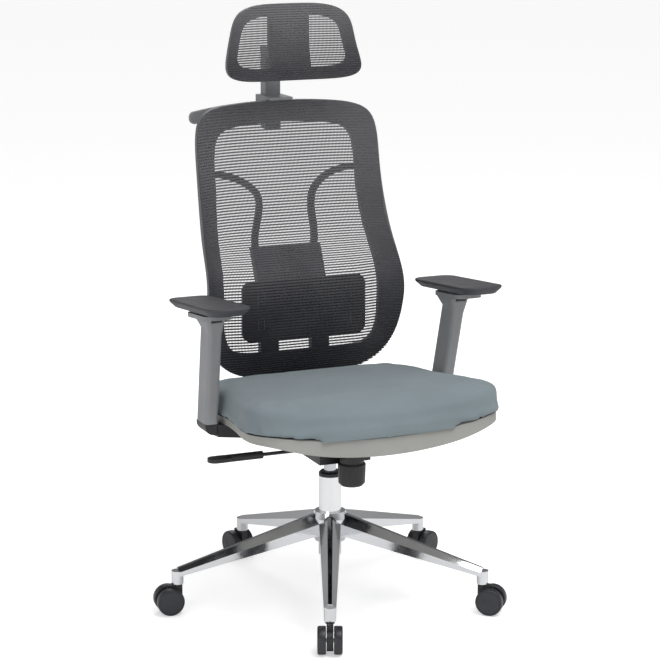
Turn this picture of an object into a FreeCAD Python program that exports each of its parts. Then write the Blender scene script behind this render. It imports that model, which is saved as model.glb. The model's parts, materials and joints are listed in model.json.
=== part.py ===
"""High-backed office chair: five-star base on twin-wheel casters, gas lift, tilting seat, mesh back and
headrest, arms that rise, turn and slide. Millimetres; the origin is on the floor under the column, +Z is
up and the seat faces -Y. Every driving size is a cell of the sheet called dims."""

import FreeCAD, Part
import math
import os
import re

import Sketcher
from FreeCAD import Placement, Rotation, Vector

X_AXIS = Vector(1, 0, 0)
Y_AXIS = Vector(0, 1, 0)
Z_AXIS = Vector(0, 0, 1)

# ---------------------------------------------------------------- driving sizes
SIZES = {
    # clearances: a running fit, and the space between pieces that only lie near each other
    "fit": 0.05,
    "gap": 0.3,
    # five-star base
    "leg_count": 5,
    "base_turn": 247,
    "caster_reach": 350,
    "hub_radius": 40,
    "hub_collar_radius": 34,
    "hub_bottom": 133,
    "hub_top": 200,
    "hub_chamfer": 6,
    "hub_chamfer_height": 18,
    "hub_collar_height": 14,
    "leg_top_at_hub": 197,
    "leg_top_at_tip": 101,
    "leg_bottom_at_hub": 150,
    "leg_bottom_at_tip": 83,
    "leg_half_width": 24,
    "tip_half_width": 13,
    "leg_wall": 4,
    "socket_bottom": 65.6,
    "socket_depth": 26,
    # casters
    "wheel_radius": 30,
    "wheel_width": 19,
    "wheel_edge": 3,
    "caster_trail": 20,
    "housing_half_width": 7.2,
    "housing_radius": 23,
    "stem_radius": 5.5,
    "axle_radius": 4,
    # column and gas spring
    "tube_radius": 25,
    "tube_wall": 1.8,
    "tube_bottom": 100,
    "tube_top": 280,
    "tube_floor": 3,
    "bush_flange": 11,
    "bush_length": 60,
    "lift_travel": 80,
    "cylinder_radius": 14,
    "cylinder_wall": 2,
    "cylinder_bottom": 125,
    "cylinder_top": 336,
    "cylinder_end": 10,
    "rod_radius": 5,
    "rod_neck_radius": 4,
    "bearing_radius": 12,
    "bearing_height": 6,
    "button_radius": 3,
    "button_length": 9.5,
    "button_top": 343,
    # tilt mechanism
    "chassis_half_width": 60,
    "chassis_front": -85,
    "chassis_rear": 70,
    "chassis_bottom": 330,
    "chassis_top": 378,
    "chassis_wall": 3,
    "chassis_hub_radius": 24,
    "chassis_hub_bottom": 318,
    "pivot_forward": -70,
    "pivot_height": 365,
    "pivot_pin_radius": 5,
    "knob_forward": -120,
    "knob_radius": 30.5,
    "knob_bottom": 290,
    "knob_top": 340,
    "knob_neck_radius": 26,
    "knob_grooves": 24,
    "nose_half_width": 26,
    "nose_bottom": 349,
    "nose_top": 392,
    "spring_radius": 12,
    "spring_wire": 1.6,
    "spring_pitch": 6,
    # height lever
    "lever_side": -30,
    "lever_height": 353,
    "lever_pivot": -30,
    "lever_rod_radius": 4,
    "lever_reach": 297,
    "grip_radius": 8.5,
    "grip_inner": 172,
    "grip_outer": 256,
    "paddle_inner": 243,
    "paddle_half_width": 17,
    "paddle_thickness": 8,
    # seat, in its own frame: height of the cushion's underside over the column, and its slope
    "seat_height": 437,
    "seat_slope": 5.5,
    "cushion_half_width": 257,
    "front_half_width": 296,
    "cushion_front": -322,
    "cushion_rear": 168,
    "cushion_thickness": 62,
    "cushion_round": 20,
    "seat_power": 6,
    "seat_droop": 30,
    "droop_start": -262,
    "board_half_width": 212,
    "board_front": -225,
    "board_rear": 140,
    "board_thickness": 12,
    "board_corner": 60,
    "shell_inset": 9,
    "shell_lip": 15.6,
    "shell_belly": 22,
    "shell_wall": 3,
    "well_half_width": 100,
    "well_front": -140,
    "well_rear": 130,
    "plate_half_width": 92,
    "plate_front": -130,
    "plate_rear": 125,
    "plate_thickness": 3,
    "bolt_radius": 3,
    "bolt_head_radius": 6,
    "bolt_head_height": 4,
    "bolt_side": 78,
    "bolt_front": -112,
    "bolt_rear": 40,
    # arms
    "arm_side": 277,
    "arm_rearward": 25,
    "arm_foot_top": 424.7,
    "arm_foot_bottom": 400,
    "arm_lean": 13.4,
    "arm_splay": 2,
    "sleeve_half_width": 15,
    "sleeve_half_depth": 30,
    "sleeve_round": 9,
    "sleeve_straight": 218,
    "post_half_width": 9,
    "post_half_depth": 22,
    "post_length": 150,
    "bracket_inner": 105,
    "bracket_half_depth": 28,
    "bracket_depth": 34,
    "bracket_round": 20,
    "head_plate_bottom": 667,
    "head_plate_half_width": 32,
    "head_plate_half_length": 66,
    "head_plate_thickness": 9,
    "pad_rearward": -4,
    "pad_outward": 6,
    "flare_rear": 55,
    "flare_half_width": 22,
    "fin_low": 128,
    "fin_high": 192,
    "fin_reach": 8,
    "button_half_width": 12,
    "button_low": 250,
    "button_high": 256,
    "button_proud": 2,
    "button_recess": 7,
    "button_stroke": 3,
    "pad_base_thickness": 4,
    "pad_pin_radius": 6,
    "pad_base_half_width": 28,
    "pad_base_half_length": 42,
    "pad_base_corner": 16,
    "pad_pin_floor": 1,
    "pad_half_width": 49,
    "pad_half_length": 141,
    "pad_thickness": 20,
    "pad_bevel": 12,
    "pad_corner": 30,
    "pad_edge": 7,
    "pad_edge_round": 2.5,
    "pad_slide": 25,
    "rail_half_width": 20,
    "rail_half_length": 32,
    "rail_height": 5,
    # backrest: half widths, heights, and the depth of its surface at mid-width
    "back_bottom": 468,
    "back_top": 1078,
    "back_arch": 14,
    "back_half_low": 236,
    "back_half_high": 218.5,
    "waist_low": 640,
    "waist_high": 860,
    "back_wrap": 43,
    "wrap_power_low": 8,
    "wrap_power_high": 3.3,
    "wrap_change_low": 640,
    "wrap_change_high": 1000,
    "frame_thickness": 14,
    "frame_rail": 48,
    "frame_sill": 60,
    "frame_head": 48,
    "mesh_thickness": 2,
    "lumbar_half_width": 147.5,
    "lumbar_bottom": 560,
    "lumbar_top": 697,
    "mesh_flat": 27,
    "mesh_flat_bottom": 440,
    "mesh_flat_low": 560,
    "mesh_flat_high": 700,
    "mesh_flat_top": 790,
    "lumbar_front": 142,
    "lumbar_thickness": 12,
    "lumbar_corner": 22,
    "lumbar_boss_half_width": 45,
    "lumbar_boss_height": 50,
    "slot_width": 3,
    "slot_height": 28,
    "slot_inset": 36,
    "slot_spacing": 14,
    "slot_low": 22,
    "slot_high": 82,
    "spine_half_width": 83,
    "spine_front": 200,
    "spine_thickness": 20,
    "spine_top": 752,
    "spine_lean_start": 642,
    "spine_foot_thickness": 18,
    "spine_window_half_width": 40,
    "spine_window_bottom": 470,
    "spine_window_height": 90,
    "spine_window_corner": 12,
    "upright_side": 68,
    "upright_rearward": 262,
    "upright_bend": 872,
    "elbow_out": 26,
    "elbow_up": 26,
    "elbow_back": 10,
    "upright_top": 918,
    "upright_half_width": 8,
    "upright_thickness": 9,
    # headrest
    "bracket_block_half_width": 28,
    "bracket_block_top": 1085,
    "bracket_block_bottom": 1062,
    "bracket_block_rear": 367,
    "stem_half_width": 18,
    "stem_front": 331,
    "stem_rear": 361,
    "stem_bottom": 1008,
    "stem_top": 1196,
    "stem_arm_depth": 22,
    "head_pivot_rearward": 256,
    "head_pivot_height": 1180,
    "head_barrel_radius": 10,
    "head_pin_radius": 4,
    "head_bottom": 1131,
    "head_top": 1298,
    "head_half_low": 172.5,
    "head_half_high": 137,
    "head_middle": 231,
    "head_wrap": 25,
    "head_thickness": 10,
    "head_border": 26,
    "head_rib_half_width": 48,
    "head_ear_thickness": 6,
    "head_roll": 24,
    "head_roll_share": 0.55,
    # coat hanger
    "hanger_half_width": 197,
    "hanger_height": 28,
    "hanger_thickness": 9,
    "hanger_middle": 1053,
    "hanger_drop": 14,
    "hanger_sweep": 30,
}

doc = FreeCAD.newDocument("office_chair")
dims = doc.addObject("Spreadsheet::Sheet", "dims")
for row, (alias, number) in enumerate(SIZES.items(), 1):
    dims.set(f"A{row}", alias)
    dims.set(f"B{row}", str(number))
    dims.setAlias(f"B{row}", alias)
doc.recompute()

PARTS = {}


# ---------------------------------------------------------------- helpers
def formula(text):
    """The text with each size's name turned into a reference to its cell."""
    return re.sub(r"[a-z_]+", lambda word: f"dims.{word[0]}" if word[0] in SIZES else word[0], str(text))


def value(text):
    return float(dims.evalExpression(formula(text)))


def bind(thing, prop, text):
    thing.setExpression(prop, formula(text))


def node(name, thing, place=None):
    """Names a finished piece and puts it in its place."""
    thing.Label = name
    if place is not None:
        thing.Placement = place
    PARTS[name] = thing
    return thing


def shape_node(name, shape, place=None):
    """A piece whose shape is worked out here from the sheet's sizes."""
    thing = doc.addObject("Part::Feature", name)
    thing.Shape = shape
    return node(name, thing, place)


def polygon(sketch, corners):
    """A closed outline whose corners are pairs of formulas, each held to the origin."""
    first = sketch.GeometryCount
    count = len(corners)
    spots = [Vector(value(across), value(up), 0) for across, up in corners]
    for index, spot in enumerate(spots):
        sketch.addGeometry(Part.LineSegment(spot, spots[(index + 1) % count]), False)
    for index in range(count):
        follower = first + (index + 1) % count
        sketch.addConstraint(Sketcher.Constraint("Coincident", first + index, 2, follower, 1))
    for index, corner in enumerate(corners):
        for kind, text in zip(("DistanceX", "DistanceY"), corner):
            held = Sketcher.Constraint(kind, -1, 1, first + index, 1, value(text))
            number = sketch.addConstraint(held)
            sketch.setExpression(f"Constraints[{number}]", formula(text))


def circle(sketch, across, up, radius):
    centre = Vector(value(across), value(up), 0)
    index = sketch.addGeometry(Part.Circle(centre, Z_AXIS, value(radius)), False)
    for kind, text in (("DistanceX", across), ("DistanceY", up)):
        number = sketch.addConstraint(Sketcher.Constraint(kind, -1, 1, index, 3, value(text)))
        sketch.setExpression(f"Constraints[{number}]", formula(text))
    number = sketch.addConstraint(Sketcher.Constraint("Radius", index, value(radius)))
    sketch.setExpression(f"Constraints[{number}]", formula(radius))


def new_body(name):
    return doc.addObject("PartDesign::Body", name)


def body_sketch(body, role, lift="0"):
    """A sketch on one of the body's own origin planes, lifted along the plane's normal."""
    plane = next(item for item in body.Origin.OriginFeatures if item.Role == role)
    sketch = body.newObject("Sketcher::SketchObject", body.Name + "_sketch")
    sketch.AttachmentSupport = (plane, [""])
    sketch.MapMode = "FlatFace"
    bind(sketch, "AttachmentOffset.Base.z", lift)
    return sketch


def pad(body, sketch, length):
    feature = body.newObject("PartDesign::Pad", body.Name + "_pad")
    feature.Profile = sketch
    bind(feature, "Length", length)
    return feature


def pocket(body, sketch, length, backwards=False):
    doc.recompute()
    before = body.Shape.Volume
    feature = body.newObject("PartDesign::Pocket", body.Name + "_pocket")
    feature.Profile = sketch
    feature.Reversed = backwards
    bind(feature, "Length", length)
    doc.recompute()
    if body.Shape.Volume >= before:
        raise RuntimeError(f"{feature.Name} cuts nothing")
    return feature


def turned(name, corners, place=None):
    """A piece of revolution about its own Z: corners are (radius, height) pairs."""
    body = new_body(name)
    sketch = body_sketch(body, "XZ_Plane")
    polygon(sketch, corners)
    turn = body.newObject("PartDesign::Revolution", name + "_turn")
    turn.Profile = sketch
    turn.ReferenceAxis = (sketch, ["V_Axis"])
    turn.Angle = 360
    return node(name, body, place)


def body_fillet(body, feature, radius, chosen):
    doc.recompute()
    edges = [f"Edge{k}" for k, edge in enumerate(feature.Shape.Edges, 1) if chosen(edge)]
    rounding = body.newObject("PartDesign::Fillet", body.Name + "_round")
    rounding.Base = (feature, edges)
    bind(rounding, "Radius", radius)
    return rounding


def runs_along(axis):
    """Picks the straight edges parallel to an axis."""
    def chosen(edge):
        if len(edge.Vertexes) < 2 or edge.Curve.TypeId != "Part::GeomLine":
            return False
        return abs(edge.Curve.Direction.dot(axis)) > 0.999
    return chosen


def box(name, across, along, up):
    """A block from its low and high formulas in x, y and z."""
    block = doc.addObject("Part::Box", name)
    for side, spot, (low, high) in zip(("Length", "Width", "Height"), "xyz", (across, along, up)):
        bind(block, side, f"({high}) - ({low})")
        bind(block, f"Placement.Base.{spot}", low)
    return block


TOWARDS = {
    "x": Rotation(Y_AXIS, 90),
    "y": Rotation(X_AXIS, -90),
    "z": Rotation(),
}


def cylinder(name, axis, radius, start, length):
    """A round bar that starts at three formulas and runs along x, y or z."""
    bar = doc.addObject("Part::Cylinder", name)
    bar.Placement = Placement(Vector(), TOWARDS[axis])
    bind(bar, "Radius", radius)
    bind(bar, "Height", length)
    for spot, text in zip("xyz", start):
        bind(bar, f"Placement.Base.{spot}", text)
    return bar


OUTLINE_TURN = {
    "x": Rotation(Vector(1, 1, 1), 120),
    "y": Rotation(X_AXIS, 90),
    "z": Rotation(),
}
AXES = {"x": X_AXIS, "y": Y_AXIS, "z": Z_AXIS}


def prism(name, axis, corners, low, high):
    """A straight prism along an axis: its outline is in (y, z), (x, z) or (x, y)."""
    sketch = doc.addObject("Sketcher::SketchObject", name + "_outline")
    sketch.Placement = Placement(Vector(), OUTLINE_TURN[axis])
    polygon(sketch, corners)
    solid = doc.addObject("Part::Extrusion", name)
    solid.Base = sketch
    solid.DirMode = "Custom"
    solid.Dir = AXES[axis]
    solid.Solid = True
    bind(solid, "LengthFwd", high)
    bind(solid, "LengthRev", f"0 - ({low})")
    return solid


def union(name, *pieces):
    joined = doc.addObject("Part::MultiFuse", name)
    joined.Shapes = list(pieces)
    joined.Refine = True
    return joined


def cut(name, base, *tools):
    result = doc.addObject("Part::Cut", name)
    result.Base = base
    result.Tool = tools[0] if len(tools) == 1 else union(name + "_tools", *tools)
    result.Refine = True
    return result


def rounded(name, base, radius, chosen):
    doc.recompute()
    result = doc.addObject("Part::Fillet", name)
    result.Base = base
    size = value(radius)
    result.Edges = [(k, size, size) for k, edge in enumerate(base.Shape.Edges, 1) if chosen(edge)]
    return result


# ---------------------------------------------------------------- curved outlines and surfaces
def oval(half_width, low, high, power, high_power=None, arch=0, points=64):
    """A closed smooth outline in the XY plane: a squared oval whose half width may change along its
    length. The power, higher for squarer corners, may differ at the high end, whose corners may fall
    below its middle by an arch."""
    middle = (low + high) / 2
    reach = (high - low) / 2
    spots = []
    for k in range(points):
        angle = 2 * math.pi * (k + 0.5) / points
        side, end = math.cos(angle), math.sin(angle)
        bend = 2 / (high_power if high_power and end > 0 else power)
        rise = abs(end) ** bend
        spread = abs(side) ** bend
        along = middle + math.copysign(reach * rise, end)
        across = half_width(along) * math.copysign(spread, side)
        if end > 0:
            along -= arch * rise * spread ** 2
        spots.append(Vector(across, along, 0))
    curve = Part.BSplineCurve()
    curve.interpolate(spots, PeriodicFlag=True)
    return Part.Wire(curve.toShape())


def blade(outline, axis, low, high):
    """The prism of an XY outline, stood up to run along y or z between two places."""
    shape = Part.Face(outline)
    if axis == "y":
        shape.rotate(Vector(), X_AXIS, 90)
    shape.translate(AXES[axis] * low)
    return shape.extrude(AXES[axis] * (high - low))


def surface(rows):
    skin = Part.BSplineSurface()
    skin.interpolate(rows)
    return skin.toShape()


def steps(low, high, count):
    return [low + (high - low) * k / (count - 1) for k in range(count)]


def smooth_step(position, low, high):
    share = min(max((position - low) / (high - low), 0), 1)
    return share * share * (3 - 2 * share)


# ---------------------------------------------------------------- five-star base
def star_base():
    """Cast hub and hollow legs, one leg modelled along +X and repeated about the column."""
    body = new_body("star_base")
    hub = body_sketch(body, "XZ_Plane")
    bore = "tube_radius + fit"
    polygon(hub, [
        (bore, "hub_bottom"),
        ("hub_radius - hub_chamfer", "hub_bottom"),
        ("hub_radius", "hub_bottom + hub_chamfer_height"),
        ("hub_radius", "hub_top - hub_collar_height"),
        ("hub_collar_radius", "hub_top"),
        (bore, "hub_top"),
    ])
    turn = body.newObject("PartDesign::Revolution", "hub_turn")
    turn.Profile = hub
    turn.ReferenceAxis = (hub, ["V_Axis"])
    turn.Angle = 360

    def section(reach, half_width, top, bottom, strip, facet):
        sketch = body_sketch(body, "YZ_Plane", reach)
        polygon(sketch, [
            (strip, top),
            (half_width, f"({top}) - ({facet})"),
            (half_width, bottom),
            (f"0 - ({half_width})", bottom),
            (f"0 - ({half_width})", f"({top}) - ({facet})"),
            (f"0 - ({strip})", top),
        ])
        return sketch

    def loft(kind, label, near, far):
        feature = body.newObject(kind, label)
        feature.Profile = near
        feature.Sections = [far]
        feature.Ruled = True
        doc.recompute()
        return feature

    leg = loft(
        "PartDesign::AdditiveLoft", "leg",
        section("tube_radius + 3", "leg_half_width", "leg_top_at_hub", "leg_bottom_at_hub", "6", "20"),
        section("caster_reach", "tip_half_width", "leg_top_at_tip", "leg_bottom_at_tip", "4", "8"),
    )
    before = body.Shape.Volume
    hollow = loft(
        "PartDesign::SubtractiveLoft", "leg_hollow",
        section("hub_radius + 5", "leg_half_width - leg_wall", "leg_top_at_hub - 10",
                "leg_bottom_at_hub - 20", "4", "18"),
        section("caster_reach - 24", "tip_half_width - leg_wall + 1", "leg_top_at_tip - 1",
                "leg_bottom_at_tip - 12", "3", "7"),
    )
    if body.Shape.Volume >= before:
        raise RuntimeError("the leg is not hollowed")
    boss_sketch = body_sketch(body, "XY_Plane", "socket_bottom")
    circle(boss_sketch, "caster_reach", "0", "tip_half_width")
    boss = pad(body, boss_sketch, "leg_top_at_tip - 6 - socket_bottom")
    hole_sketch = body_sketch(body, "XY_Plane", "socket_bottom + socket_depth")
    circle(hole_sketch, "caster_reach", "0", "stem_radius + fit")
    hole = pocket(body, hole_sketch, "socket_depth")
    pattern = body.newObject("PartDesign::PolarPattern", "legs")
    pattern.Originals = [leg, hollow, boss, hole]
    pattern.Axis = (next(i for i in body.Origin.OriginFeatures if i.Role == "Z_Axis"), [""])
    pattern.Angle = 360
    bind(pattern, "Occurrences", "leg_count")
    body.Tip = pattern
    node("star_base", body, Placement(Vector(), Rotation(Z_AXIS, value("base_turn"))))


def caster(number, place):
    """Hooded housing, a vertical stem and a crossing axle, and two wheels; it trails along its own +x."""
    name = f"caster_{number}"
    top = "socket_bottom - gap"
    disc = cylinder(name + "_disc", "y", "housing_radius",
                    ("caster_trail", "0 - housing_half_width", "wheel_radius"), "2 * housing_half_width")
    web = box(name + "_web", ("0 - 9", "caster_trail + 4"),
              ("0 - housing_half_width", "housing_half_width"), ("wheel_radius", f"{top} - 1"))
    neck = cylinder(name + "_neck", "z", "stem_radius + 5", ("0", "0", "2 * wheel_radius + 1"),
                    f"{top} - 2 * wheel_radius - 1")
    stem_hole = cylinder(name + "_stem_hole", "z", "stem_radius + fit", ("0", "0", "wheel_radius + 6"),
                         "socket_bottom")
    axle_hole = cylinder(name + "_axle_hole", "y", "axle_radius + fit",
                         ("caster_trail", "0 - housing_half_width - 1", "wheel_radius"),
                         "2 * housing_half_width + 2")
    body = union(name + "_solid", disc, web, neck)
    node(name + "_housing", cut(name + "_housing", body, stem_hole, axle_hole), place)

    stem = cylinder(name + "_stem", "z", "stem_radius", ("0", "0", "wheel_radius + 6 + gap"),
                    "socket_bottom + socket_depth - gap - (wheel_radius + 6 + gap)")
    axle_end = "housing_half_width + gap + wheel_width - 3.5"
    axle = cylinder(name + "_axle", "y", "axle_radius", ("caster_trail", f"0 - ({axle_end})", "wheel_radius"),
                    f"2 * ({axle_end})")
    node(name + "_pins", union(name + "_pins", stem, axle), place)

    bore = "axle_radius + fit"
    for letter, side in (("a", 1), ("b", -1)):
        offset = Vector(value("caster_trail"), side * value("housing_half_width + gap"), value("wheel_radius"))
        spin = place * Placement(offset, Rotation(X_AXIS, -90 * side))
        turned(f"{name}_wheel_{letter}", [
            (bore, "0"),
            ("wheel_radius - wheel_edge", "0"),
            ("wheel_radius", "wheel_edge"),
            ("wheel_radius", "wheel_width - wheel_edge"),
            ("wheel_radius - wheel_edge", "wheel_width"),
            ("0", "wheel_width"),
            ("0", "wheel_width - 3"),
            (bore, "wheel_width - 3"),
        ], spin)


def casters():
    for k in range(int(value("leg_count"))):
        turn = Rotation(Z_AXIS, value("base_turn") + k * 360 / value("leg_count"))
        seat = turn.multVec(Vector(value("caster_reach"), 0, 0))
        caster(k + 1, Placement(seat, turn))


# ---------------------------------------------------------------- column and gas spring
def column():
    inner = "tube_radius - tube_wall"
    turned("column_tube", [
        ("rod_neck_radius + fit", "tube_bottom"),
        ("tube_radius", "tube_bottom"),
        ("tube_radius", "tube_top"),
        (inner, "tube_top"),
        (inner, "tube_bottom + tube_floor"),
        ("rod_neck_radius + fit", "tube_bottom + tube_floor"),
    ])
    turned("column_bush", [
        ("cylinder_radius + fit", "tube_top - bush_length"),
        (f"{inner} - fit", "tube_top - bush_length"),
        (f"{inner} - fit", "tube_top"),
        ("tube_radius", "tube_top"),
        ("tube_radius", "tube_top + bush_flange - 4"),
        ("tube_radius - 4", "tube_top + bush_flange"),
        ("cylinder_radius + fit", "tube_top + bush_flange"),
    ])
    turned("thrust_bearing", [
        ("rod_radius + 2 * fit", "tube_bottom + tube_floor"),
        ("bearing_radius", "tube_bottom + tube_floor"),
        ("bearing_radius", "tube_bottom + tube_floor + bearing_height"),
        ("rod_radius + 2 * fit", "tube_bottom + tube_floor + bearing_height"),
    ])
    collar = "tube_bottom + tube_floor + bearing_height + fit"
    piston = "cylinder_bottom + cylinder_end + lift_travel + 1"
    turned("piston_rod", [
        ("0", "tube_bottom - 6"),
        ("rod_neck_radius", "tube_bottom - 6"),
        ("rod_neck_radius", "tube_bottom - 3"),
        ("rod_neck_radius + 3", "tube_bottom - 3"),
        ("rod_neck_radius + 3", "tube_bottom - fit"),
        ("rod_neck_radius", "tube_bottom - fit"),
        ("rod_neck_radius", "tube_bottom + tube_floor + 1"),
        ("rod_radius", "tube_bottom + tube_floor + 1"),
        ("rod_radius", collar),
        ("bearing_radius - 2", collar),
        ("bearing_radius - 2", f"{collar} + 3"),
        ("rod_radius", f"{collar} + 3"),
        ("rod_radius", piston),
        ("cylinder_radius - cylinder_wall - fit", piston),
        ("cylinder_radius - cylinder_wall - fit", f"{piston} + 10"),
        ("0", f"{piston} + 10"),
    ])
    hollow = "cylinder_radius - cylinder_wall"
    turned("gas_cylinder", [
        ("rod_radius + fit", "cylinder_bottom"),
        ("cylinder_radius", "cylinder_bottom"),
        ("cylinder_radius", "cylinder_top"),
        ("button_radius + fit", "cylinder_top"),
        ("button_radius + fit", "cylinder_top - 7"),
        ("0", "cylinder_top - 7"),
        ("0", "cylinder_top - cylinder_end"),
        (hollow, "cylinder_top - cylinder_end"),
        (hollow, "cylinder_bottom + cylinder_end"),
        ("rod_radius + fit", "cylinder_bottom + cylinder_end"),
    ])
    turned("gas_button", [
        ("0", "button_top - button_length"),
        ("button_radius", "button_top - button_length"),
        ("button_radius", "button_top - 1"),
        ("button_radius - 1", "button_top"),
        ("0", "button_top"),
    ])


# ---------------------------------------------------------------- tilt mechanism
def tilt_chassis():
    """Pressed housing fixed on the gas cylinder: an open tray, a closed nose round the tension spring,
    and two lugs for the lever's cam."""
    half = "chassis_half_width"
    tray = box("tray", (f"0 - {half}", half), ("chassis_front", "chassis_rear"),
               ("chassis_bottom", "chassis_top"))
    nose = box("nose", ("0 - nose_half_width", "nose_half_width"), ("knob_forward - 28", "chassis_front + 1"),
               ("nose_bottom", "nose_top"))
    hub = cylinder("chassis_hub", "z", "chassis_hub_radius", ("0", "0", "chassis_hub_bottom"),
                   "chassis_bottom + 2 - chassis_hub_bottom")
    tray_room = box("tray_room", (f"0 - {half} + chassis_wall", f"{half} - chassis_wall"),
                    ("chassis_front + chassis_wall", "chassis_rear - chassis_wall"),
                    ("chassis_bottom + chassis_wall", "nose_top + 10"))
    shell = cut("chassis_shell", union("chassis_solid", tray, nose, hub), tray_room)
    collar = cylinder("chassis_collar", "z", "cylinder_radius + 6", ("0", "0", "chassis_bottom"),
                      "cylinder_top - chassis_bottom")
    lugs = [
        box(f"cam_lug_{side}", ("lever_pivot - 5", "lever_pivot + 5"),
            (f"lever_side + ({low})", f"lever_side + ({low}) + 6"),
            ("chassis_bottom + 1", "lever_height + 7"))
        for side, low in (("front", "0 - 16"), ("rear", "10"))
    ]
    filled = union("chassis_filled", shell, collar, *lugs)
    holes = [
        cylinder("cylinder_seat", "z", "cylinder_radius + fit", ("0", "0", "chassis_hub_bottom - 1"),
                 "cylinder_top - chassis_hub_bottom + 3"),
        cylinder("spring_room", "z", "spring_radius + spring_wire + 3", ("0", "knob_forward", "nose_bottom + 3"),
                 "nose_top - nose_bottom - 6"),
        cylinder("knob_hole", "z", "rod_radius + fit", ("0", "knob_forward", "nose_bottom - 1"), "6"),
        cylinder("pivot_hole", "x", "pivot_pin_radius + fit",
                 (f"0 - {half} - 1", "pivot_forward", "pivot_height"), f"2 * {half} + 2"),
        cylinder("cam_hole", "y", "3 + fit", ("lever_pivot", "lever_side - 17", "lever_height"), "34"),
        box("lever_slot", (f"0 - {half} - 1", f"0 - {half} + chassis_wall + 1"),
            ("lever_side - 7", "lever_side + 7"), ("lever_height - 6", "lever_height + 12")),
    ]
    node("tilt_chassis", cut("tilt_chassis", filled, *holes))
    pin_end = "chassis_half_width + 6"
    pin = cylinder("tilt_pivot_pin", "x", "pivot_pin_radius", (f"0 - ({pin_end})", "pivot_forward",
                                                               "pivot_height"), f"2 * ({pin_end})")
    node("tilt_pivot_pin", pin)


def tension_spring():
    wire_radius = value("spring_wire")
    radius = value("spring_radius")
    low = value("nose_bottom + 3 + gap") + wire_radius
    high = value("nose_top - 3 - gap") - wire_radius
    coil = Part.makeHelix(value("spring_pitch"), high - low, radius)
    profile = Part.Wire(Part.makeCircle(wire_radius, Vector(radius, 0, 0), Y_AXIS))
    spring = Part.Wire(coil).makePipeShell([profile], True, True)
    shape_node("tension_spring", spring, Placement(Vector(0, value("knob_forward"), low), Rotation()))


def tension_knob():
    """Grooved hand knob with its bolt up through the spring."""
    body = turned("tension_knob", [
        ("0", "knob_bottom"),
        ("knob_radius - 7", "knob_bottom"),
        ("knob_radius - 1.5", "knob_bottom + 6"),
        ("knob_radius", "knob_top - 3"),
        ("knob_radius - 2", "knob_top"),
        ("knob_neck_radius", "knob_top"),
        ("knob_neck_radius", "nose_bottom - gap"),
        ("rod_radius", "nose_bottom - gap"),
        ("rod_radius", "nose_top - 3 - gap"),
        ("0", "nose_top - 3 - gap"),
    ])
    groove = body_sketch(body, "XY_Plane", "knob_top - 6")
    circle(groove, "knob_radius + 1", "0", "2.2")
    first = pocket(body, groove, "knob_top - knob_bottom - 14")
    pattern = body.newObject("PartDesign::PolarPattern", "knob_grip")
    pattern.Originals = [first]
    pattern.Axis = (next(i for i in body.Origin.OriginFeatures if i.Role == "Z_Axis"), [""])
    pattern.Angle = 360
    bind(pattern, "Occurrences", "knob_grooves")
    body.Tip = pattern
    body.Placement = Placement(Vector(0, value("knob_forward"), 0), Rotation())


def lever():
    """The cam presses the gas button when the grip is raised; the rod slides in it to lock the tilt."""
    carrier = box("cam_carrier", ("lever_pivot - 18", "lever_pivot + 10"), ("lever_side - 8", "lever_side + 8"),
                  ("lever_height - 8", "lever_height + 8"))
    finger = box("cam_finger", ("0 - 5", "5"), ("lever_side - 8", "5"),
                 ("button_top + gap", "button_top + 6"))
    web = box("cam_web", ("lever_pivot + 8", "5"), ("lever_side - 8", "lever_side + 8"),
              ("button_top + gap", "lever_height + 4"))
    pin = cylinder("cam_pin", "y", "3", ("lever_pivot", "lever_side - 15.5", "lever_height"), "31")
    rod_hole = cylinder("cam_rod_hole", "x", "lever_rod_radius + fit",
                        ("lever_pivot - 19", "lever_side", "lever_height"), "40")
    # the pin is a pair of stubs, so that the rod's bore stays open between them
    node("lever_cam", cut("lever_cam", union("cam_solid", carrier, finger, web, pin), rod_hole))

    rod_end = "0 - (grip_outer - 20)"
    rod = cylinder("lever_rod", "x", "lever_rod_radius", (rod_end, "lever_side", "lever_height"),
                   f"lever_pivot + 6 - ({rod_end})")
    node("lever_rod", rod)

    barrel = cylinder("grip_barrel", "x", "grip_radius", ("0 - grip_outer", "lever_side", "lever_height"),
                      "grip_outer - grip_inner")
    blade_block = box("paddle_block", ("0 - lever_reach", "0 - paddle_inner"),
                      ("lever_side - paddle_half_width", "lever_side + paddle_half_width"),
                      ("lever_height - paddle_thickness / 2", "lever_height + paddle_thickness / 2"))
    paddle = rounded("paddle", blade_block, "paddle_half_width - 1", runs_along(Z_AXIS))
    bore = cylinder("grip_bore", "x", "lever_rod_radius + fit", (f"{rod_end} - gap", "lever_side",
                                                                 "lever_height"), "grip_outer")
    node("lever_grip", cut("lever_grip", union("grip_solid", barrel, paddle), bore))


# ---------------------------------------------------------------- seat
def seat_frame():
    """The seat's own frame: its plane slopes up towards the front, about the column's axis."""
    return Placement(Vector(0, 0, value("seat_height")), Rotation(X_AXIS, -value("seat_slope")))


def seat_half_width(along):
    """Half the seat's width: it spreads forward of the arms."""
    rear, front = value("cushion_half_width"), value("front_half_width")
    return rear + (front - rear) * smooth_step(-along, 0, -0.85 * value("cushion_front"))


def seat_outline(inset):
    """The squared oval of the seat, drawn in by an inset."""
    return oval(lambda along: seat_half_width(along) - inset, value("cushion_front") + inset,
                value("cushion_rear") - inset, value("seat_power"))


def front_share(along):
    """0 behind the bend of the seat, rising smoothly to 1 at the front edge."""
    start = value("droop_start")
    return max((start - along) / (start - value("cushion_front")), 0) ** 2


def droop(across, along):
    """How far the seat's front edge hangs below its plane: most at the middle."""
    middle = 1 - min(abs(across) / seat_half_width(along), 1) ** 2
    return value("seat_droop") * front_share(along) * middle


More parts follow.
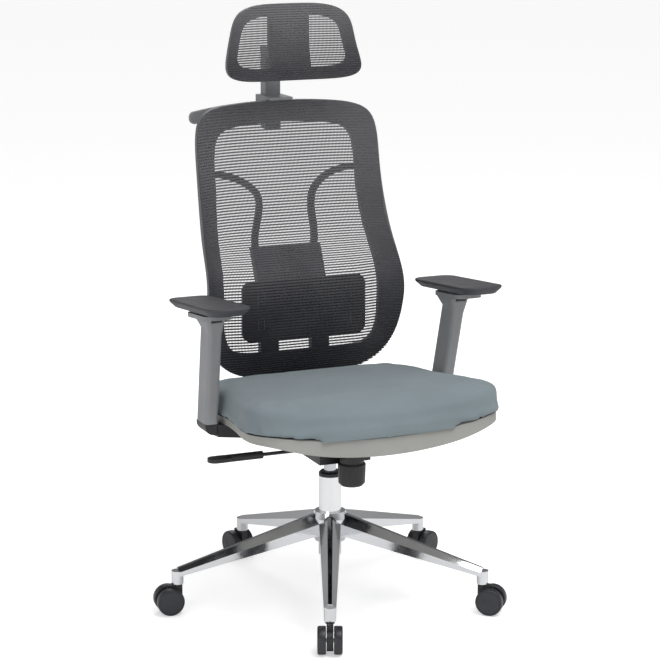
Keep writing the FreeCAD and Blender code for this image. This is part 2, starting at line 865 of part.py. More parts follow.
def belly(across, along):
    """The extra depth of the shell under the front of the seat."""
    middle = 1 - min(abs(across) / seat_half_width(along), 1) ** 2
    rise = smooth_step(-along, -value("well_front") - 10, -value("cushion_front"))
    return value("shell_belly") * rise * middle


def seat_surface(height):
    """A surface over the whole seat whose height is a function of place."""
    wide = value("front_half_width") + 15
    rows = [
        [Vector(across, along, height(across, along)) for across in steps(-wide, wide, 11)]
        for along in steps(value("cushion_front") - 15, value("cushion_rear") + 15, 19)
    ]
    return surface(rows)


def seat_cushion():
    thick = value("cushion_thickness")
    slab = seat_surface(lambda across, along: -droop(across, along)).extrude(Z_AXIS * thick)
    cushion = slab.common(blade(seat_outline(0), "z", -100, 100)).Solids[0]

    def rim(edge):
        centre = edge.BoundBox.Center
        return edge.BoundBox.XLength > 50 or abs(centre.x) > 100

    def is_top(edge):
        return edge.BoundBox.ZMax > thick - 1

    edges = [edge for edge in cushion.Edges if rim(edge)]
    cushion = cushion.makeFillet(value("cushion_round"), [edge for edge in edges if is_top(edge)])
    shape_node("seat_cushion", cushion, seat_frame())


def seat_shell():
    """The tray under the cushion: deep and bellied in front, shallow behind, with a well for the
    mechanism."""
    gap = value("gap")
    lip = value("shell_lip")
    wall = value("shell_wall")
    inset = value("shell_inset")
    top = seat_surface(lambda across, along: -gap - droop(across, along)).extrude(Z_AXIS * 150)
    under = seat_surface(lambda across, along: -lip - droop(across, along) - belly(across, along))
    floor = seat_surface(lambda across, along: wall - lip - droop(across, along) - belly(across, along))
    outer = under.extrude(Z_AXIS * 150).common(blade(seat_outline(inset), "z", -150, 100))
    room = floor.extrude(Z_AXIS * 150).common(blade(seat_outline(inset + wall + 1), "z", -150, 100))
    well_half, front, rear = (value(f"well_{name}") for name in ("half_width", "front", "rear"))
    well = Part.makeBox(2 * well_half, rear - front, 150, Vector(-well_half, front, -100))
    shape_node("seat_shell", outer.cut([top, room, well]).Solids[0], seat_frame())


def bolt_places():
    return [(f"{side} * bolt_side", f"bolt_{end}") for side in (-1, 1) for end in ("front", "rear")]


def seat_board():
    body = new_body("seat_board")
    front = "board_front"
    low = "0 - gap - board_thickness"
    sketch = body_sketch(body, "XY_Plane", low)
    polygon(sketch, [
        ("0 - board_half_width", front),
        ("board_half_width", front),
        ("board_half_width", "board_rear"),
        ("0 - board_half_width", "board_rear"),
    ])
    board = pad(body, sketch, "board_thickness")
    body.Tip = body_fillet(body, board, "board_corner", runs_along(Z_AXIS))
    holes = body_sketch(body, "XY_Plane", "0 - gap - 3")
    for across, along in bolt_places():
        circle(holes, across, along, "bolt_radius + fit")
    pocket(body, holes, "board_thickness - 3")
    node("seat_board", body, seat_frame())


def tilt_plate():
    """Steel plate under the board, with two cheeks down to the pivot pin."""
    frame = seat_frame()
    top = "0 - 2 * gap - board_thickness"
    under = f"{top} - plate_thickness"
    plate = box("plate", ("0 - plate_half_width", "plate_half_width"), ("plate_front", "plate_rear"),
                (under, top))
    pivot = frame.inverse().multVec(Vector(0, value("pivot_forward"), value("pivot_height")))
    sheet_result("D1", "pivot_along_seat", pivot.y)
    sheet_result("D2", "pivot_below_seat", pivot.z)
    inner = "chassis_half_width + 1.5"
    cheeks = [
        prism(f"cheek_{name}", "x", [
            ("pivot_along_seat - 30", f"{under} + 1"),
            ("pivot_along_seat + 45", f"{under} + 1"),
            ("pivot_along_seat + 14", "pivot_below_seat - 12"),
            ("pivot_along_seat - 14", "pivot_below_seat - 12"),
        ], low, high)
        for name, low, high in (
            ("left", f"0 - ({inner}) - plate_thickness", f"0 - ({inner})"),
            ("right", inner, f"{inner} + plate_thickness"),
        )
    ]
    pivot_hole = cylinder("plate_pivot_hole", "x", "pivot_pin_radius + fit",
                          ("0 - plate_half_width", "pivot_along_seat", "pivot_below_seat"),
                          "2 * plate_half_width")
    bolt_holes = [
        cylinder(f"plate_bolt_hole_{k}", "z", "bolt_radius + fit", (across, along, f"{under} - 1"),
                 "plate_thickness + 2")
        for k, (across, along) in enumerate(bolt_places())
    ]
    solid = union("plate_solid", plate, *cheeks)
    node("tilt_plate", cut("tilt_plate", solid, pivot_hole, *bolt_holes), frame)

    bolts = []
    for k, (across, along) in enumerate(bolt_places()):
        shank = cylinder(f"bolt_shank_{k}", "z", "bolt_radius", (across, along, f"{under} - 1"),
                         "plate_thickness + board_thickness - 4")
        head = cylinder(f"bolt_head_{k}", "z", "bolt_head_radius",
                        (across, along, f"{under} - bolt_head_height"), "bolt_head_height")
        bolts += [shank, head]
    node("seat_bolts", union("seat_bolts", *bolts), frame)


# ---------------------------------------------------------------- arms
def arm(name, side):
    """Bracket and inner post stay with the seat; the sleeve rises on the post and carries the release
    button, the turning pad base and the sliding pad."""
    place = Placement(
        Vector(side * value("arm_side"), value("arm_rearward"), value("arm_foot_top")),
        Rotation(Y_AXIS, side * value("arm_splay")) * Rotation(X_AXIS, value("arm_lean")),
    )
    frame = seat_frame()

    def across(low, high):
        """A span in x, given for the right arm and mirrored for the left one."""
        return (low, high) if side > 0 else (f"0 - ({high})", f"0 - ({low})")

    foot_in, foot_out = across("arm_side - sleeve_half_width", "arm_side + sleeve_half_width")
    foot_block = box(name + "_foot_block", (foot_in, foot_out),
                     ("arm_rearward - bracket_half_depth", "arm_rearward + bracket_half_depth"),
                     ("arm_foot_bottom", "arm_foot_top"))
    foot = rounded(name + "_foot", foot_block, "bracket_round", lambda edge: runs_along(Y_AXIS)(edge)
                   and edge.BoundBox.Center.z < value("arm_foot_bottom") + 1
                   and abs(edge.BoundBox.Center.x) > value("arm_side"))
    top = "0 - shell_lip - gap"
    bar = prism(name + "_bar", "y", [
        (f"{side} * bracket_inner", top),
        (f"{side} * (arm_side - sleeve_half_width + 2)", top),
        (f"{side} * (arm_side - sleeve_half_width + 2)", f"{top} - bracket_depth + 8"),
        (f"{side} * (arm_side - sleeve_half_width - 60)", f"{top} - bracket_depth"),
        (f"{side} * bracket_inner", f"{top} - 10"),
    ], "arm_rearward - bracket_half_depth", "arm_rearward + bracket_half_depth")
    doc.recompute()
    bar_shape = bar.Shape.copy()
    bar_shape.Placement = frame * bar_shape.Placement
    shape_node(name + "_bracket", foot.Shape.fuse(bar_shape).removeSplitter())

    floor = Part.makeBox(400, 400, 200, Vector(-200, -200, -200))
    floor.translate(Vector(side * value("arm_side"), value("arm_rearward"), value("arm_foot_top")))

    def leaning_box(half_width, half_depth, low, high):
        block = Part.makeBox(2 * half_width, 2 * half_depth, high - low, Vector(-half_width, -half_depth, low))
        block.Placement = place
        return block

    post = leaning_box(value("post_half_width"), value("post_half_depth"), -20, value("post_length"))
    shape_node(name + "_post", post.cut(floor))

    shape_node(name + "_sleeve", arm_sleeve(side, place, leaning_box, floor))
    arm_button(name, place)
    arm_pad(name, side, place)


def head_frame_of_arm(place):
    """The frame of an arm's plate and pad: on the leaning axis, sloped like the seat."""
    axis = place.Rotation.multVec(Z_AXIS)
    centre = place.Base + axis * ((value("head_plate_bottom") - place.Base.z) / axis.z)
    return Placement(centre, Rotation(X_AXIS, -value("seat_slope")))


def rounded_rectangle(half_x, half_y, radius, centre, rotation):
    """A closed wire of straights and quarter arcs, in the given plane."""
    corners = [(1, 1, 0), (-1, 1, 90), (-1, -1, 180), (1, -1, 270)]
    arcs = []
    for sign_x, sign_y, start in corners:
        middle = Vector(sign_x * (half_x - radius), sign_y * (half_y - radius), 0)
        arcs.append(Part.makeCircle(radius, middle, Z_AXIS, start, start + 90))
    edges = []
    for k, arc in enumerate(arcs):
        edges.append(arc)
        edges.append(Part.makeLine(arc.lastVertex().Point, arcs[(k + 1) % 4].firstVertex().Point))
    wire = Part.Wire(edges)
    wire.Placement = Placement(centre, rotation)
    return wire


def arm_sleeve(side, place, leaning_box, floor):
    """Hollow trunk that flares rearward into the plate under the pad."""
    half_width, half_depth = value("sleeve_half_width"), value("sleeve_half_depth")
    straight, corner = value("sleeve_straight"), value("sleeve_round")
    low = rounded_rectangle(half_width, half_depth, corner, place.multVec(Vector(0, 0, -20)), place.Rotation)
    trunk = Part.Face(low).extrude(place.Rotation.multVec(Z_AXIS) * (straight + 20))
    head = head_frame_of_arm(place)
    shoulder = rounded_rectangle(half_width, half_depth, corner, place.multVec(Vector(0, 0, straight)),
                                 place.Rotation)
    tilt = math.radians(value("arm_lean + seat_slope"))
    flare_front = -half_depth / math.cos(tilt)
    flare_rear = value("flare_rear")
    collar = rounded_rectangle(value("flare_half_width"), (flare_rear - flare_front) / 2, corner,
                               head.multVec(Vector(0, (flare_rear + flare_front) / 2, 0)), head.Rotation)
    flare = Part.makeLoft([shoulder, collar], True, False)
    rim = rounded_rectangle(
        value("head_plate_half_width"), value("head_plate_half_length"), value("pad_corner") - 8,
        head.multVec(Vector(side * value("pad_outward"), value("pad_rearward"), 0)), head.Rotation)
    plate = Part.Face(rim).extrude(head.Rotation.multVec(Z_AXIS) * value("head_plate_thickness"))
    fin_low, fin_high, reach = value("fin_low"), value("fin_high"), value("fin_reach")
    fin_half = half_width - corner
    fin_side = Part.makePolygon([
        Vector(-fin_half, half_depth - 1, fin_low),
        Vector(-fin_half, half_depth + reach, fin_low + reach),
        Vector(-fin_half, half_depth + reach, fin_low + 3 * reach),
        Vector(-fin_half, half_depth - 1, fin_high),
        Vector(-fin_half, half_depth - 1, fin_low),
    ])
    fin = Part.Face(fin_side).extrude(X_AXIS * 2 * fin_half)
    fin.Placement = place
    solid = trunk.fuse([flare, plate, fin])
    room = leaning_box(value("post_half_width + fit"), value("post_half_depth + fit"), -30, straight - 8)
    button_reach = value("button_half_width + fit")
    recess = Part.makeBox(2 * button_reach, value("button_recess") + 40,
                          value("button_high - button_low + 2 * fit"),
                          Vector(-button_reach, -half_depth - 40, value("button_low - fit")))
    recess.Placement = place
    pin_hole = Part.makeCylinder(value("pad_pin_radius + fit"), value("head_plate_thickness"),
                                 Z_AXIS * value("pad_pin_floor"))
    pin_hole.Placement = head
    return solid.cut([room, recess, pin_hole, floor]).removeSplitter()


def arm_button(name, place):
    """Button let into the sleeve's front face under the plate; pressing it frees the sleeve."""
    half, low, high = value("button_half_width"), value("button_low"), value("button_high")
    face = -value("sleeve_half_depth")
    depth = value("button_recess + button_proud - button_stroke - gap")
    button = Part.makeBox(2 * half, depth, high - low, Vector(-half, face - value("button_proud"), low))
    front = [edge for edge in button.Edges if edge.BoundBox.YMax < face - value("button_proud") + 0.01]
    shape_node(name + "_trigger", button.makeFillet(1, front), place)


def arm_pad(name, side, place):
    head = head_frame_of_arm(place)
    gap = value("gap")
    plate_top = value("head_plate_thickness")
    base_low = plate_top + gap
    base_high = base_low + value("pad_base_thickness")
    half_x, half_y = value("pad_base_half_width"), value("pad_base_half_length")
    base = Part.makeBox(2 * half_x, 2 * half_y, base_high - base_low, Vector(-half_x, -half_y, base_low))
    base = base.makeFillet(value("pad_base_corner"), [edge for edge in base.Edges if runs_along(Z_AXIS)(edge)])
    rail_x, rail_y = value("rail_half_width"), value("rail_half_length")
    rail = Part.makeBox(2 * rail_x, 2 * rail_y, value("rail_height") + 1,
                        Vector(-rail_x, -rail_y, base_high - 1))
    pin_low = value("pad_pin_floor") + 1
    pin = Part.makeCylinder(value("pad_pin_radius"), base_low + 1 - pin_low, Z_AXIS * pin_low)
    shape_node(name + "_pad_base", base.fuse([rail, pin]).removeSplitter(), head)

    low = base_high + gap
    high = low + value("pad_thickness")
    edge = value("pad_edge")
    middle_x, middle_y = side * value("pad_outward"), value("pad_rearward")
    outline = rounded_rectangle(value("pad_half_width"), value("pad_half_length"), value("pad_corner"),
                                Vector(middle_x, middle_y, high - edge), Rotation())
    bevel = value("pad_bevel")
    underside = rounded_rectangle(value("pad_half_width") - bevel, value("pad_half_length") - bevel,
                                  value("pad_corner") - bevel / 2, Vector(middle_x, middle_y, low), Rotation())
    block = Part.Face(outline).extrude(Z_AXIS * edge).fuse(Part.makeLoft([underside, outline], True, True))
    room_y = rail_y + value("pad_slide") + gap
    room = Part.makeBox(2 * (rail_x + gap), 2 * room_y, value("rail_height") + gap + 5,
                        Vector(-rail_x - gap, -room_y, low - 5))
    solid = block.cut(room).removeSplitter()
    rim = [edge for edge in solid.Edges if abs(edge.BoundBox.ZMin - high) < 0.01]
    shape_node(name + "_pad", solid.makeFillet(value("pad_edge_round"), rim), head)


# ---------------------------------------------------------------- backrest
def back_half_width(height):
    """Half the backrest's width: broad at the hips, narrower above the waist."""
    low, high = value("back_half_low"), value("back_half_high")
    return low + (high - low) * smooth_step(height, value("waist_low"), value("waist_high"))


def back_profile():
    """The backrest's line at mid-width, seen from the side: upright at the loins, leaning back above."""
    places = [
        (186, 440),
        (168, 540),
        (165, 620),
        (167, 690),
        (219.5, 780),
        (262, 900),
        (281, 1010),
        (287, 1125),
    ]
    curve = Part.BSplineCurve()
    curve.interpolate([Vector(0, depth, height) for depth, height in places])
    return curve


def back_line(height):
    """The depth of the backrest at mid-width, at a height between the ends of its profile."""
    curve = back_profile()
    low, high = curve.FirstParameter, curve.LastParameter
    for _ in range(40):
        middle = (low + high) / 2
        if curve.value(middle).z < height:
            low = middle
        else:
            high = middle
    return curve.value(low).y


def back_wrap(share, height):
    """How far the backrest comes forward, at a share of its half width."""
    low, high = value("wrap_power_low"), value("wrap_power_high")
    change = smooth_step(height, value("wrap_change_low"), value("wrap_change_high"))
    power = low + (high - low) * change
    return value("back_wrap") * abs(share) ** power


def rail_rear(across, height):
    """The depth of the frame's rear face, at a place across and up."""
    wrap = back_wrap(across / back_half_width(height), height)
    return back_line(height) - wrap + value("frame_thickness")


def back_surface(forward=0, stretch=lambda share, height: 0):
    """The sitter's side of the frame: its edges wrap forward, sharply at the loins and gently above."""
    curve = back_profile()
    rows = []
    for parameter in steps(curve.FirstParameter, curve.LastParameter, 36):
        spot = curve.value(parameter)
        half = back_half_width(spot.z)
        row = []
        for share in steps(-1.04, 1.04, 41):
            depth = spot.y - back_wrap(share, spot.z) - forward - stretch(share, spot.z)
            row.append(Vector(share * half, depth, spot.z))
        rows.append(row)
    return surface(rows)


def back_blade(inset_side=0, inset_low=0, inset_high=0, low_power=4):
    """The backrest's outline from the front, drawn in by its borders and run through its depth."""
    low, high = value("back_bottom") + inset_low, value("back_top") - inset_high
    outline = oval(lambda height: back_half_width(height) - inset_side, low, high, low_power, 10,
                   value("back_arch"))
    return blade(outline, "y", 40, 400)


def frame_ring(grown=0):
    """The frame's ring, thickened at its rear by a clearance for what lies against it."""
    slab = back_surface().extrude(Y_AXIS * (value("frame_thickness") + grown))
    window = back_blade(value("frame_rail"), value("frame_sill"), value("frame_head"), 8)
    return slab.common(back_blade().cut(window)).Solids[0]


def back_frame():
    shape_node("back_frame", frame_ring())


def mesh_stretch(share, height):
    """How far the mesh stands clear of the frame at the loins, where it spans flat from rail to rail."""
    rise = smooth_step(height, value("mesh_flat_bottom"), value("mesh_flat_low"))
    fall = smooth_step(height, value("mesh_flat_high"), value("mesh_flat_top"))
    inside = 1 - smooth_step(abs(share), 0.5, 0.98)
    return value("mesh_flat") * (rise - fall) * inside


def back_mesh():
    gap, thick = value("gap"), value("mesh_thickness")
    slab = back_surface(2 * gap + thick, mesh_stretch).extrude(Y_AXIS * thick)
    shape_node("back_mesh", slab.common(back_blade()).Solids[0])


def lumbar_pad():
    """Pad behind the mesh, on a boss that runs on the spine."""
    low, high, half = value("lumbar_bottom"), value("lumbar_top"), value("lumbar_half_width")
    front, thick = value("lumbar_front"), value("lumbar_thickness")
    corner = value("lumbar_corner")
    pad_shape = Part.makeBox(2 * half, thick, high - low, Vector(-half, front, low))
    pad_shape = pad_shape.makeFillet(corner, [edge for edge in pad_shape.Edges if runs_along(Y_AXIS)(edge)])
    pad_shape = pad_shape.makeFillet(3, [
        edge for edge in pad_shape.Edges if edge.BoundBox.YMax < front + 0.01
    ])
    rear = value("spine_front - gap")
    boss_half, boss_height = value("lumbar_boss_half_width"), value("lumbar_boss_height")
    boss = Part.makeBox(2 * boss_half, rear - front - thick + 1, boss_height,
                        Vector(-boss_half, front + thick - 1, (low + high - boss_height) / 2))
    slot_width, slot_height = value("slot_width"), value("slot_height")
    slots = []
    for side in (-1, 1):
        for offset in (0, value("slot_spacing")):
            for level in (value("slot_low"), value("slot_high")):
                middle = side * (half - value("slot_inset") - offset)
                corner_spot = Vector(middle - slot_width / 2, front - 1, low + level)
                slots.append(Part.makeBox(slot_width, thick + 2, slot_height, corner_spot))
    shape_node("lumbar_pad", pad_shape.fuse(boss).cut(slots).removeSplitter())


def back_spine():
    """One moulding: a foot bolted under the seat, a broad upright plate and two arms that spread to the
    frame's side rails."""
    frame = seat_frame()
    half = value("spine_half_width")
    front, rear = value("spine_front"), value("spine_front + spine_thickness")
    top = value("spine_top")
    lean_start = value("spine_lean_start")
    foot_thick = value("spine_foot_thickness")
    head_front = value("upright_rearward") - value("spine_thickness") / 2
    under = -2 * value("gap") - value("board_thickness") - value("plate_thickness") - value("gap")
    foot_top = frame.multVec(Vector(0, value("plate_rear") - 45, under))
    corner_top = frame.multVec(Vector(0, front - 12, under))
    side_view = Part.makePolygon([
        Vector(0, foot_top.y, foot_top.z),
        Vector(0, corner_top.y, corner_top.z),
        Vector(0, front, corner_top.z + 22),
        Vector(0, front, lean_start),
        Vector(0, head_front, top),
        Vector(0, head_front + value("spine_thickness"), top),
        Vector(0, rear, lean_start),
        Vector(0, rear, corner_top.z + 6),
        Vector(0, front - 4, corner_top.z - foot_thick),
        Vector(0, foot_top.y, foot_top.z - foot_thick),
        Vector(0, foot_top.y, foot_top.z),
    ])
    plate = Part.Face(side_view).extrude(X_AXIS * 2 * half)
    plate.translate(X_AXIS * -half)
    window_half, window_high = value("spine_window_half_width"), value("spine_window_height")
    window = Part.makeBox(2 * window_half, 200, window_high,
                          Vector(-window_half, front - 50, value("spine_window_bottom")))
    window = window.makeFillet(value("spine_window_corner"), [edge for edge in window.Edges if runs_along(Y_AXIS)(edge)])
    shape_node("back_spine", plate.cut(window).fuse([spread_arm(-1), spread_arm(1)]).removeSplitter())


def spread_arm(side):
    """A flat bar that rises straight from the spine's head, then bends outwards and forwards to lie on
    the back of the side rail."""
    along = value("upright_side")
    half, thick = value("upright_half_width"), value("upright_thickness")
    depth = value("upright_rearward")
    low, bend, end = value("spine_top") - 12, value("upright_bend"), value("upright_top")
    start = Vector(side * along, depth, low)
    rail = value("back_half_high") - value("frame_rail") / 2
    rest = rail_rear(rail, end) + thick / 2 + value("gap")
    path = Part.BSplineCurve()
    path.interpolate([
        start,
        Vector(side * along, depth, (low + bend) / 2),
        Vector(side * along, depth, bend),
        Vector(side * (along + value("elbow_out")), depth + value("elbow_back"), bend + value("elbow_up")),
        Vector(side * rail, rest, end),
    ])
    wire = Part.Wire(path.toShape())
    section = Part.makePolygon([
        start + Vector(-half, -thick / 2, 0),
        start + Vector(half, -thick / 2, 0),
        start + Vector(half, thick / 2, 0),
        start + Vector(-half, thick / 2, 0),
        start + Vector(-half, -thick / 2, 0),
    ])
    return wire.makePipeShell([section], True, False).cut(frame_ring(value("gap")))


# ---------------------------------------------------------------- headrest
def head_bracket():
    """Block on the top rail, with a socket for the headrest's stem and a lip over the rail."""
    half = "bracket_block_half_width"
    rail_rear = "bracket_rail_rear"
    block = box("head_block", (f"0 - {half}", half), (rail_rear, "bracket_block_rear"),
                ("bracket_block_bottom", "bracket_block_top"))
    lip = box("head_lip", (f"0 - {half}", half), (f"{rail_rear} - 20", f"{rail_rear} + 1"),
              ("back_top + 1", "bracket_block_top"))
    socket = box("head_socket", ("0 - stem_half_width - fit", "stem_half_width + fit"),
                 ("stem_front - fit", "stem_rear + fit"),
                 ("bracket_block_bottom - 1", "bracket_block_top + 1"))
    node("head_bracket", cut("head_bracket", union("head_bracket_solid", block, lip), socket))


def head_stem():
    """Bar that slides in the bracket, with an arm forward to the headrest's pivot."""
    half = "stem_half_width"
    bar = box("stem_bar", (f"0 - {half}", half), ("stem_front", "stem_rear"), ("stem_bottom", "stem_top"))
    arm_block = box("stem_arm", (f"0 - {half}", half), ("head_pivot_rearward", "stem_front + 1"),
                    ("stem_top - stem_arm_depth", "stem_top"))
    barrel = cylinder("stem_barrel", "x", "head_barrel_radius",
                      (f"0 - {half}", "head_pivot_rearward", "head_pivot_height"), f"2 * {half}")
    pin_hole = cylinder("stem_pin_hole", "x", "head_pin_radius + fit",
                        (f"0 - {half} - 1", "head_pivot_rearward", "head_pivot_height"), f"2 * {half} + 2")
    node("head_stem", cut("head_stem", union("stem_solid", bar, arm_block, barrel), pin_hole))


def head_half_width(height):
    share = (height - value("head_bottom")) / value("head_top - head_bottom")
    return value("head_half_high") + value("head_half_low - head_half_high") * max(1 - share, 0) ** 1.5


def head_surface(forward=0):
    """The headrest's front: hollow across, with its lower border rolled forward."""
    roll, roll_share = value("head_roll"), value("head_roll_share")
    rows = []
    for share in steps(-0.06, 1.06, 9):
        height = value("head_bottom") + value("head_top - head_bottom") * share
        depth = value("head_middle") + 3 * share - roll * max(1 - share / roll_share, 0) ** 2
        row = []
        for side in steps(-1.05, 1.05, 11):
            across = side * head_half_width(height)
            row.append(Vector(across, depth - value("head_wrap") * abs(side) ** 2.4 - forward, height))
        rows.append(row)
    return surface(rows)


def head_blade(inset):
    outline = oval(lambda height: head_half_width(height) - inset, value("head_bottom") + inset,
                   value("head_top") - inset, 5, 4)
    return blade(outline, "y", 400, 100)


def head_frame():
    slab = head_surface().extrude(Y_AXIS * value("head_thickness"))
    rib = value("head_rib_half_width")
    windows = head_blade(value("head_border")).cut(Part.makeBox(2 * rib, 400, 400, Vector(-rib, 50, 1000)))
    frame = slab.common(head_blade(0).cut(windows))
    half = value("stem_half_width + gap")
    pivot = Vector(0, value("head_pivot_rearward"), value("head_pivot_height"))
    ears = []
    thick, ear_radius = value("head_ear_thickness"), value("head_barrel_radius")
    for side in (-1, 1):
        start = half if side > 0 else -half - thick
        ear = Part.makeCylinder(ear_radius, thick, pivot + X_AXIS * start, X_AXIS)
        bridge = Part.makeBox(thick, 26, 2 * ear_radius, Vector(start, pivot.y - 24, pivot.z - ear_radius))
        ears += [ear, bridge]
    pin = Part.makeCylinder(value("head_pin_radius"), 2 * half + 2, pivot - X_AXIS * (half + 1), X_AXIS)
    front_cut = head_surface(120).extrude(Y_AXIS * 121)
    clevis = ears[0].fuse(ears[1:]).cut(front_cut)
    shape_node("head_frame", frame.fuse([clevis, pin]).removeSplitter())


def head_mesh():
    gap, thick = value("gap"), value("mesh_thickness")
    slab = head_surface(gap + thick).extrude(Y_AXIS * thick)
    shape_node("head_mesh", slab.common(head_blade(0)).Solids[0])


# ---------------------------------------------------------------- coat hanger
def coat_hanger():
    """Bar behind the shoulders: drooping ends, swept forward, fixed to the head bracket."""
    half, height = value("hanger_half_width"), value("hanger_height")
    drop, sweep, thick = value("hanger_drop"), value("hanger_sweep"), value("hanger_thickness")
    middle = value("hanger_middle")
    rear = value("bracket_block_rear + gap")

    def arc(offset, bow, level):
        """An arch through three places whose ends fall or swing by bow."""
        return [Vector(-half, offset - bow, level), Vector(0, offset, level), Vector(half, offset - bow, level)]

    front_arc = Part.Arc(*arc(rear, sweep, 0)).toShape()
    rear_arc = Part.Arc(*arc(rear + thick, sweep, 0)).toShape()
    plan = Part.Wire([
        front_arc,
        Part.makeLine(front_arc.lastVertex().Point, rear_arc.lastVertex().Point),
        rear_arc,
        Part.makeLine(rear_arc.firstVertex().Point, front_arc.firstVertex().Point),
    ])
    bent = Part.Face(plan).extrude(Z_AXIS * 200)
    bent.translate(Z_AXIS * (middle - 100))
    top = Part.Arc(*[Vector(p.x, 0, p.y) for p in arc(middle + height / 2, drop, 0)]).toShape()
    low = Part.Arc(*[Vector(p.x, 0, p.y) for p in arc(middle - height / 2, drop, 0)]).toShape()
    front_view = Part.Wire([
        top,
        Part.makeLine(top.lastVertex().Point, low.lastVertex().Point),
        low,
        Part.makeLine(low.firstVertex().Point, top.firstVertex().Point),
    ])
    bar = Part.Face(front_view).extrude(Y_AXIS * 500).common(bent)
    bar = bar.makeFillet(height / 2 - 1.5, [edge for edge in bar.Edges if runs_along(Y_AXIS)(edge)])
    block_half = value("bracket_block_half_width + gap")
    seat = Part.makeBox(2 * block_half, 100, 100, Vector(-block_half, rear - 100, middle - 50))
    shape_node("coat_hanger", bar.cut(seat).Solids[0])


# ---------------------------------------------------------------- build, check and write
def sheet_result(cell, alias, number):
    """Keeps a worked-out place in the sheet, for the formulas that need it."""
    dims.set(cell, str(number))
    dims.setAlias(cell, alias)
    SIZES[alias] = number
    doc.recompute()


def bracket_seat():
    """The back of the top rail at mid-width, where the head bracket lies against it."""
    sheet_result("D3", "bracket_rail_rear", rail_rear(0, value("back_top")) + value("gap"))


star_base()
casters()
column()
tilt_chassis()
tension_spring()
tension_knob()
lever()
tilt_plate()
seat_board()
seat_shell()
seat_cushion()
arm("arm_l", -1)
arm("arm_r", 1)
back_frame()
back_mesh()
lumbar_pad()
back_spine()
bracket_seat()
head_bracket()
head_stem()
head_frame()
head_mesh()
coat_hanger()
doc.recompute()

faults = []
for thing in doc.Objects:
    if "Invalid" in thing.State or "Error" in thing.State:
        faults.append(f"{thing.Name} is {thing.State}")
for name, thing in PARTS.items():
    if thing.Shape.isNull() or not thing.Shape.isValid() or not thing.Shape.Solids:
        faults.append(f"{name} has no valid solid")
if faults:
    raise RuntimeError("; ".join(faults))

os.makedirs("parts", exist_ok=True)
for name, thing in PARTS.items():
    thing.Shape.exportStep(f"parts/{name}.step")
print(f"{len(PARTS)} parts written")
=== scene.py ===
# %% [markdown]
# # A high-backed office chair with a mesh back
#
# The chair arrives as a imported CAD model: every metal and plastic piece already has its true size and
# place. This lesson adds what a CAD model lacks: soft fabric, woven mesh, rounded hand-worn plastics,
# polished metal, a camera and a studio. The first cell loads the frame.

# %% Load the frame
import json
import math

import bpy
from mathutils import Matrix, Vector
from mathutils.bvhtree import BVHTree


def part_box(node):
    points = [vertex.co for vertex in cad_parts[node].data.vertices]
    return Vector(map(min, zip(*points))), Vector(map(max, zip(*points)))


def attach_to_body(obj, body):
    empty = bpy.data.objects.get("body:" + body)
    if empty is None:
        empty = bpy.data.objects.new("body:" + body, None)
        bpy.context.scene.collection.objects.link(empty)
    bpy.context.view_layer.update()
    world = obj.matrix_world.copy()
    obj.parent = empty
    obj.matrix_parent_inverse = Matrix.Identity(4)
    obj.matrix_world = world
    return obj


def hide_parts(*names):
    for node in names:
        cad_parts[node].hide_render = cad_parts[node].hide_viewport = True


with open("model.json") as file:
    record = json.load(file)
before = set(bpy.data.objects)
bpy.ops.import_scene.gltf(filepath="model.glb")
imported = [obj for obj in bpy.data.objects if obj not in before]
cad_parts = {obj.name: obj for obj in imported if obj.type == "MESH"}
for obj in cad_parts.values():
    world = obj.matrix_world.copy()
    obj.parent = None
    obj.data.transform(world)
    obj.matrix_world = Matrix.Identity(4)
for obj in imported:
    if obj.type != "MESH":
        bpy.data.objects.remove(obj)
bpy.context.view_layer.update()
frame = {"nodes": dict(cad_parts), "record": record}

NODES = frame["nodes"]
JOINTS = {joint["name"]: joint for joint in frame["record"]["behaviour"]["joints"]}

# %% [markdown]
# Operators act on whatever is selected, so every piece starts from an empty selection. A finished
# piece has its place in its mesh and its object at the origin: then a pattern on Object coordinates
# stays where it is when the body it rides on moves.

# %% Helpers for modelling by hand
def start():
    if bpy.context.object and bpy.context.object.mode != "OBJECT":
        bpy.ops.object.mode_set(mode="OBJECT")
    bpy.ops.object.select_all(action="DESELECT")


def only(piece):
    """Makes a piece the one that operators act on."""
    start()
    piece.select_set(True)
    bpy.context.view_layer.objects.active = piece
    return piece


def pick(piece, kind, chosen):
    """Goes into edit mode with just the faces, edges or vertices that a test chooses."""
    only(piece)
    bpy.ops.object.mode_set(mode="EDIT")
    bpy.ops.mesh.select_mode(type=kind)
    bpy.ops.mesh.select_all(action="DESELECT")
    bpy.ops.object.mode_set(mode="OBJECT")
    mesh = piece.data
    group = {"FACE": mesh.polygons, "EDGE": mesh.edges, "VERT": mesh.vertices}[kind]
    for item in group:
        item.select = chosen(item)
    bpy.ops.object.mode_set(mode="EDIT")


def done():
    bpy.ops.object.mode_set(mode="OBJECT")


def modify(piece, kind, **settings):
    """Adds a modifier and applies it."""
    only(piece)
    step = piece.modifiers.new(kind.title(), kind)
    for name, setting in settings.items():
        setattr(step, name, setting)
    bpy.ops.object.modifier_apply(modifier=step.name)


def smooth(piece, angle=35):
    only(piece)
    bpy.ops.object.shade_smooth_by_angle(angle=math.radians(angle))


def settle(piece, place=None):
    """Moves a piece to its place and writes that place into its mesh."""
    only(piece)
    if place is not None:
        piece.matrix_world = place
    bpy.ops.object.transform_apply(location=True, rotation=True, scale=True)


def attach(piece, name, body, nodes, finish):
    """Names a piece, gives it its finish, hides the CAD pieces it stands for, and lets it ride on its body."""
    piece.name = name
    piece.data.name = name
    piece.data.materials.clear()
    piece.data.materials.append(finish)
    if nodes:
        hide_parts(*nodes)
    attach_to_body(piece, body)
    print(f"{name}: {len(piece.data.polygons)} faces on {body}")
    return piece


